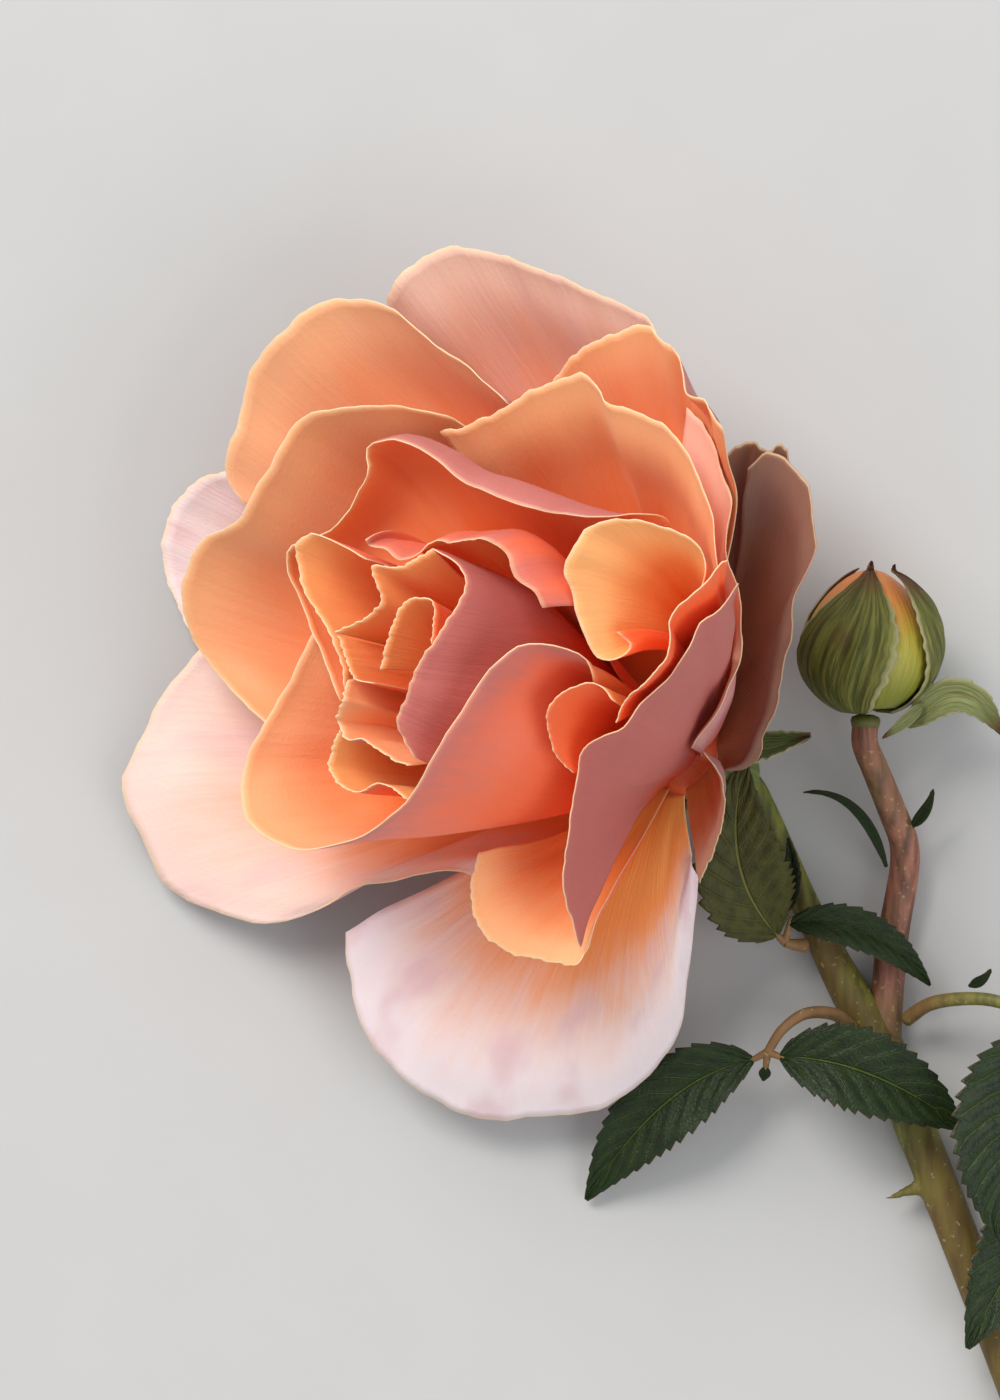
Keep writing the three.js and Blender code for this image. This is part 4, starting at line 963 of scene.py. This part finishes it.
# ---------------------------------------------------------------- operators
class ROSE_OT_petals(bpy.types.Operator):
    """Lay every petal of the open bloom, from its hearts outwards"""

    bl_idname = "rose.petals"
    bl_label = "Petals"

    def execute(self, context):
        colours, sizes = context.scene.rose_colours, context.scene.rose_sizes
        materials = [petal_outside(colours), petal_inside(colours), petal_edge(colours)]
        for seed, (petal, push) in enumerate(lay_petals()):
            look = LOOKS[petal.name]
            points = placed(petal_surface(petal, push, look, 10 * seed) + BLOOM_SEAT)
            name = "petal_" + petal.name
            piece = add_piece("rose_" + name, grid_mesh(points), materials, [name])
            add_wall(piece, sizes.petal)
            add_constant(piece, "look", (look.warm, look.pale, look.dusk, look.mauve))
        return {"FINISHED"}


class ROSE_OT_hip(bpy.types.Operator):
    """Make the hip behind the bloom and its five sepals"""

    bl_idname = "rose.hip"
    bl_label = "Hip and sepals"

    def execute(self, context):
        sizes = context.scene.rose_sizes
        turns = np.radians(np.linspace(0, 118, 22))
        profile = [(SEAT_RADIUS * math.sin(a), SEAT_RADIUS * math.cos(a)) for a in turns]
        waist = curve_through(
            [(*profile[-1], 0), (HIP_RADIUS * 0.9, -SEAT_RADIUS * 0.8, 0),
             (HIP_RADIUS, -HIP_LENGTH * 0.55, 0),
             (HIP_RADIUS * 0.8, -HIP_LENGTH * 0.8, 0), (PEDICEL_RADIUS, -HIP_LENGTH, 0)], 30)
        profile += [(x, y) for x, y, _ in waist[1:]] + [(0, -HIP_LENGTH)]
        profile[0] = (0, SEAT_RADIUS)
        points = placed(turned_points(AXES["bloom"], BLOOM_SEAT, profile))
        add_piece("rose_hip", grid_mesh(points, closed=True), [hip_skin()], ["hip"])
        face = sepal_skin("sepal_face", shade(64, 80, 34), shade(112, 124, 62), shade(110, 84, 50))
        for i, (azimuth, bend, long) in enumerate(SEPALS):
            bm = grid_mesh(placed(sepal_surface(azimuth, bend, long)))
            piece = add_piece(f"rose_sepal_{i + 1}", bm, [face] * 3, [f"sepal_{i + 1}"])
            add_wall(piece, sizes.leaf)
        return {"FINISHED"}


class ROSE_OT_bud(bpy.types.Operator):
    """Make the side bud: furled petals, its small hip and its sepals"""

    bl_idname = "rose.bud"
    bl_label = "Bud"

    def execute(self, context):
        sizes = context.scene.rose_sizes
        heights = np.linspace(JOINT_GAP * 2, BUD_LENGTH, 44)
        profile = [(0, heights[0])] + [(float(bud_radius(z)), z) for z in heights[1:-1]] + [(0, BUD_LENGTH)]
        points = turned_points(BUD_AXES, BUD_BASE, profile, 48)
        furled = bud_petal_skin()
        bm = grid_mesh(placed(points), closed=True)
        add_piece("rose_bud_petals", bm, [furled], ["bud_petals"])
        skin = stem_skin("bud_hip_skin", shade(84, 92, 40), shade(110, 112, 50), shade(120, 70, 50))
        hip = [(0, -BUD_HIP), (PEDICEL_RADIUS, -BUD_HIP), (PEDICEL_RADIUS * 1.1, -BUD_HIP * 0.5),
               (PEDICEL_RADIUS, -BUD_HIP * 0.2), (PEDICEL_RADIUS * 0.6, 0), (0, 0)]
        bm = grid_mesh(placed(turned_points(BUD_AXES, BUD_BASE, hip, 32)), closed=True)
        add_piece("rose_bud_hip", bm, [skin], ["bud_hip"])
        faces = [
            sepal_skin("bud_sepal_face", shade(74, 78, 26), shade(128, 128, 58), shade(96, 48, 30)),
            sepal_skin("bud_sepal_back", shade(118, 126, 70), shade(160, 164, 110), shade(110, 70, 44)),
        ]
        sheets = [(f"bud_sepal_{i + 1}", bud_sepal_surface(*row)) for i, row in enumerate(BUD_SEPALS)]
        sheets += [(leaf.name, leaflet_surface(leaf, 70, 16)) for leaf in LOOSE_SEPALS]
        for name, surface in sheets:
            piece = add_piece("rose_" + name, grid_mesh(placed(surface)), faces + faces[:1], [name])
            add_wall(piece, sizes.leaf)
        return {"FINISHED"}


def bud_petal_skin():
    """Furled bud petals: green at the foot, yellow, with a warm tint at the tip."""
    finish = Finish("bud_petal_skin", Roughness=0.45)
    _, along, uv = finish.uv()
    veins = finish.noise(finish.stretched(uv, (60, 4, 1)), 1.0, 3.0)
    far = along + (veins - 0.5) * 0.3
    colour = finish.mix(far.step(0.05, 0.5), shade(128, 132, 40), shade(178, 166, 60))
    colour = finish.mix(far.step(0.45, 0.9), colour, shade(206, 124, 60))
    finish.feed("Base Color", colour)
    finish.bump(veins, 0.0004, 0.6)
    return finish.material


class ROSE_OT_stem(bpy.types.Operator):
    """Grow the stem with its prickles, the pedicel, the bud stalk and the leaf stalks"""

    bl_idname = "rose.stem"
    bl_label = "Stem and stalks"

    def execute(self, context):
        sizes = context.scene.rose_sizes
        skin = stem_skin("stem_skin", shade(70, 76, 14), shade(124, 126, 42), shade(96, 62, 26))
        pedicel = [behind_seat(HIP_LENGTH + JOINT_GAP), behind_seat(HIP_LENGTH + JOINT_GAP + 1.6),
                   (34.5, -17.5, 2.6), (38.7, -27, 2.3), (43, -35.5, 2.5), FORK]
        stalk = [FORK, (48.1, -37.3, 2.4), (48.8, -29.8, 2.4), (50.2, -18.6, 4.4), (48.4, -13.5, 6.6),
                 (46.3, -8.6, 8.6), bud_point(-1.6), bud_point(0.7)]
        swell = STEM_RADIUS - PEDICEL_RADIUS
        rods = [
            rod_points(STEM_PATH, lambda t: STEM_RADIUS * (1 - 0.08 * math.sin(9 * t)), 160, 24),
            rod_points(pedicel, lambda t: PEDICEL_RADIUS + swell * float(smoothstep(0.35, 1, t)), 60, 20),
        ]
        whole = grid_mesh(placed(rods[0]), closed=True)
        for rod in rods[1:]:
            join(whole, grid_mesh(placed(rod), closed=True))
        middle = curve_through(STEM_PATH, 201)
        for at, turn, long in PRICKLES:
            outward = unit([math.cos(math.radians(turn)), math.sin(math.radians(turn)), 0.25])
            foot = middle[round(at * 200)]
            reach = long + STEM_RADIUS
            droop = np.array([0.25, -0.6, 0]) * 0.5
            path = [foot, foot + outward * reach * 0.5, foot + outward * reach + droop]
            thorn = rod_points(path, lambda t: 1.35 * (1 - t) ** 1.1 + 0.06, 16, 12)
            join(whole, grid_mesh(placed(thorn), closed=True))
        piece = add_piece("rose_stem", whole, [skin], ["stem"])
        weld = piece.modifiers.new("Weld", "REMESH")
        weld.mode = "VOXEL"
        weld.voxel_size = sizes.weld
        weld.use_smooth_shade = True
        ease = piece.modifiers.new("Ease", "SMOOTH")
        ease.iterations = 2
        red = stem_skin("bud_stalk_skin", shade(84, 50, 38), shade(166, 104, 84), shade(112, 96, 50))
        points = rod_points(stalk, lambda t: PEDICEL_RADIUS * (1.25 - 0.3 * t), 90, 24)
        add_piece("rose_bud_stalk", grid_mesh(placed(points), closed=True), [red], ["stem"])
        green = stem_skin("stalk_skin", shade(92, 92, 34), shade(128, 120, 54), shade(132, 84, 56))
        feet = {leaf.name: leaf.foot for leaf in LEAFLETS}
        for name, path in PETIOLES.items():
            rod = rod_points(path, lambda t: PETIOLE_RADIUS * (1.3 - 0.5 * t), 70, 16)
            whole = grid_mesh(placed(rod), closed=True)
            for leaf in LEAF_FEET[name]:
                foot = np.array(feet[leaf], dtype=float)
                end = min((np.array(p, dtype=float) for p in path), key=lambda p: np.linalg.norm(p - foot))
                link = [end, (end + foot) / 2, foot + unit(foot - end) * 0.8]
                rod = rod_points(link, lambda t: PETIOLE_RADIUS * (0.75 - 0.3 * t), 12, 12)
                join(whole, grid_mesh(placed(rod), closed=True))
            add_piece("rose_" + name, whole, [green], [name])
        return {"FINISHED"}


def join(whole, other):
    """Adds one bmesh to another."""
    mesh = bpy.data.meshes.new("joined")
    other.to_mesh(mesh)
    other.free()
    whole.from_mesh(mesh)
    bpy.data.meshes.remove(mesh)


class ROSE_OT_leaves(bpy.types.Operator):
    """Make the toothed leaflets and the small bracts"""

    bl_idname = "rose.leaves"
    bl_label = "Leaves"

    def execute(self, context):
        sizes = context.scene.rose_sizes
        top = leaf_face("leaf_top", shade(26, 46, 3), shade(76, 96, 28), 0.3)
        under = leaf_face("leaf_under", shade(74, 74, 24), shade(126, 124, 60), 0.5)
        edge = leaf_face("leaf_edge", shade(60, 70, 26), shade(104, 110, 60), 0.5)
        for leaf in LEAFLETS:
            bm = grid_mesh(placed(leaflet_surface(leaf)))
            faces = [top, under, edge] if leaf.turned else [under, top, edge]
            piece = add_piece("rose_" + leaf.name, bm, faces, [leaf.name])
            add_wall(piece, sizes.leaf)
        return {"FINISHED"}


def add_lamp(name, place, towards, size, power, colour):
    light = bpy.data.lights.new(name, "AREA")
    light.shape = "SQUARE"
    light.size = size
    light.energy = power
    light.color = colour
    lamp = bpy.data.objects.new(name, light)
    lamp.location = place
    lamp.rotation_euler = (Vector(towards) - Vector(place)).to_track_quat("-Z", "Y").to_euler()
    bpy.context.scene.collection.objects.link(lamp)


class ROSE_OT_stage(bpy.types.Operator):
    """Set the pale table, the soft light and the camera that looks straight down"""

    bl_idname = "rose.stage"
    bl_label = "Stage"

    def execute(self, context):
        scene = context.scene
        bm = bmesh.new()
        bmesh.ops.create_grid(bm, x_segments=1, y_segments=1, size=2)
        mesh = bpy.data.meshes.new("table")
        bm.to_mesh(mesh)
        bm.free()
        finish = Finish("table_paper", Roughness=0.9)
        grain = finish.noise(finish.place(), 60.0, 4.0)
        finish.feed("Base Color", finish.mix(grain, shade(190, 189, 187), shade(195, 194, 192)))
        mesh.materials.append(finish.material)
        table = bpy.data.objects.new("table", mesh)
        scene.collection.objects.link(table)
        middle = placed((0, 0, 0))
        power = scene.rose_sizes.lamp
        add_lamp("window", middle + (-0.55, 0.75, 0.95), middle, 0.7, power, (1.0, 0.985, 0.96))
        add_lamp("bounce", middle + (0.8, -0.5, 0.8), middle, 0.9, power * 0.3, (0.96, 0.98, 1.0))
        world = bpy.data.worlds.new("room")
        world.use_nodes = True
        world.node_tree.nodes["Background"].inputs[0].default_value = (0.93, 0.96, 1.0, 1.0)
        world.node_tree.nodes["Background"].inputs[1].default_value = 0.55
        scene.world = world
        scene.view_settings.view_transform = "Standard"
        camera = bpy.data.cameras.new("camera")
        camera.sensor_width = 36
        camera.lens = 165
        eye = bpy.data.objects.new("camera", camera)
        eye.location = placed((0, 0, CAMERA_HEIGHT))
        scene.collection.objects.link(eye)
        scene.camera = eye
        return {"FINISHED"}


class ROSE_PT_panel(bpy.types.Panel):
    bl_label = "Rose"
    bl_space_type = "VIEW_3D"
    bl_region_type = "UI"
    bl_category = "Rose"

    def draw(self, context):
        for operator in OPERATORS:
            self.layout.operator(operator.bl_idname)
        for group in (context.scene.rose_sizes, context.scene.rose_colours):
            for name in group.__annotations__:
                self.layout.prop(group, name)


OPERATORS = [ROSE_OT_petals, ROSE_OT_hip, ROSE_OT_bud, ROSE_OT_stem, ROSE_OT_leaves, ROSE_OT_stage]
CLASSES = [RoseColours, RoseSizes, *OPERATORS, ROSE_PT_panel]


def register():
    for cls in CLASSES:
        bpy.utils.register_class(cls)
    bpy.types.Scene.rose_colours = PointerProperty(type=RoseColours)
    bpy.types.Scene.rose_sizes = PointerProperty(type=RoseSizes)


def unregister():
    del bpy.types.Scene.rose_sizes
    del bpy.types.Scene.rose_colours
    for cls in reversed(CLASSES):
        bpy.utils.unregister_class(cls)


def main():
    register()
    bpy.ops.rose.petals()
    bpy.ops.rose.hip()
    bpy.ops.rose.bud()
    bpy.ops.rose.stem()
    bpy.ops.rose.leaves()
    bpy.ops.rose.stage()


if __name__ == "__main__":
    main()
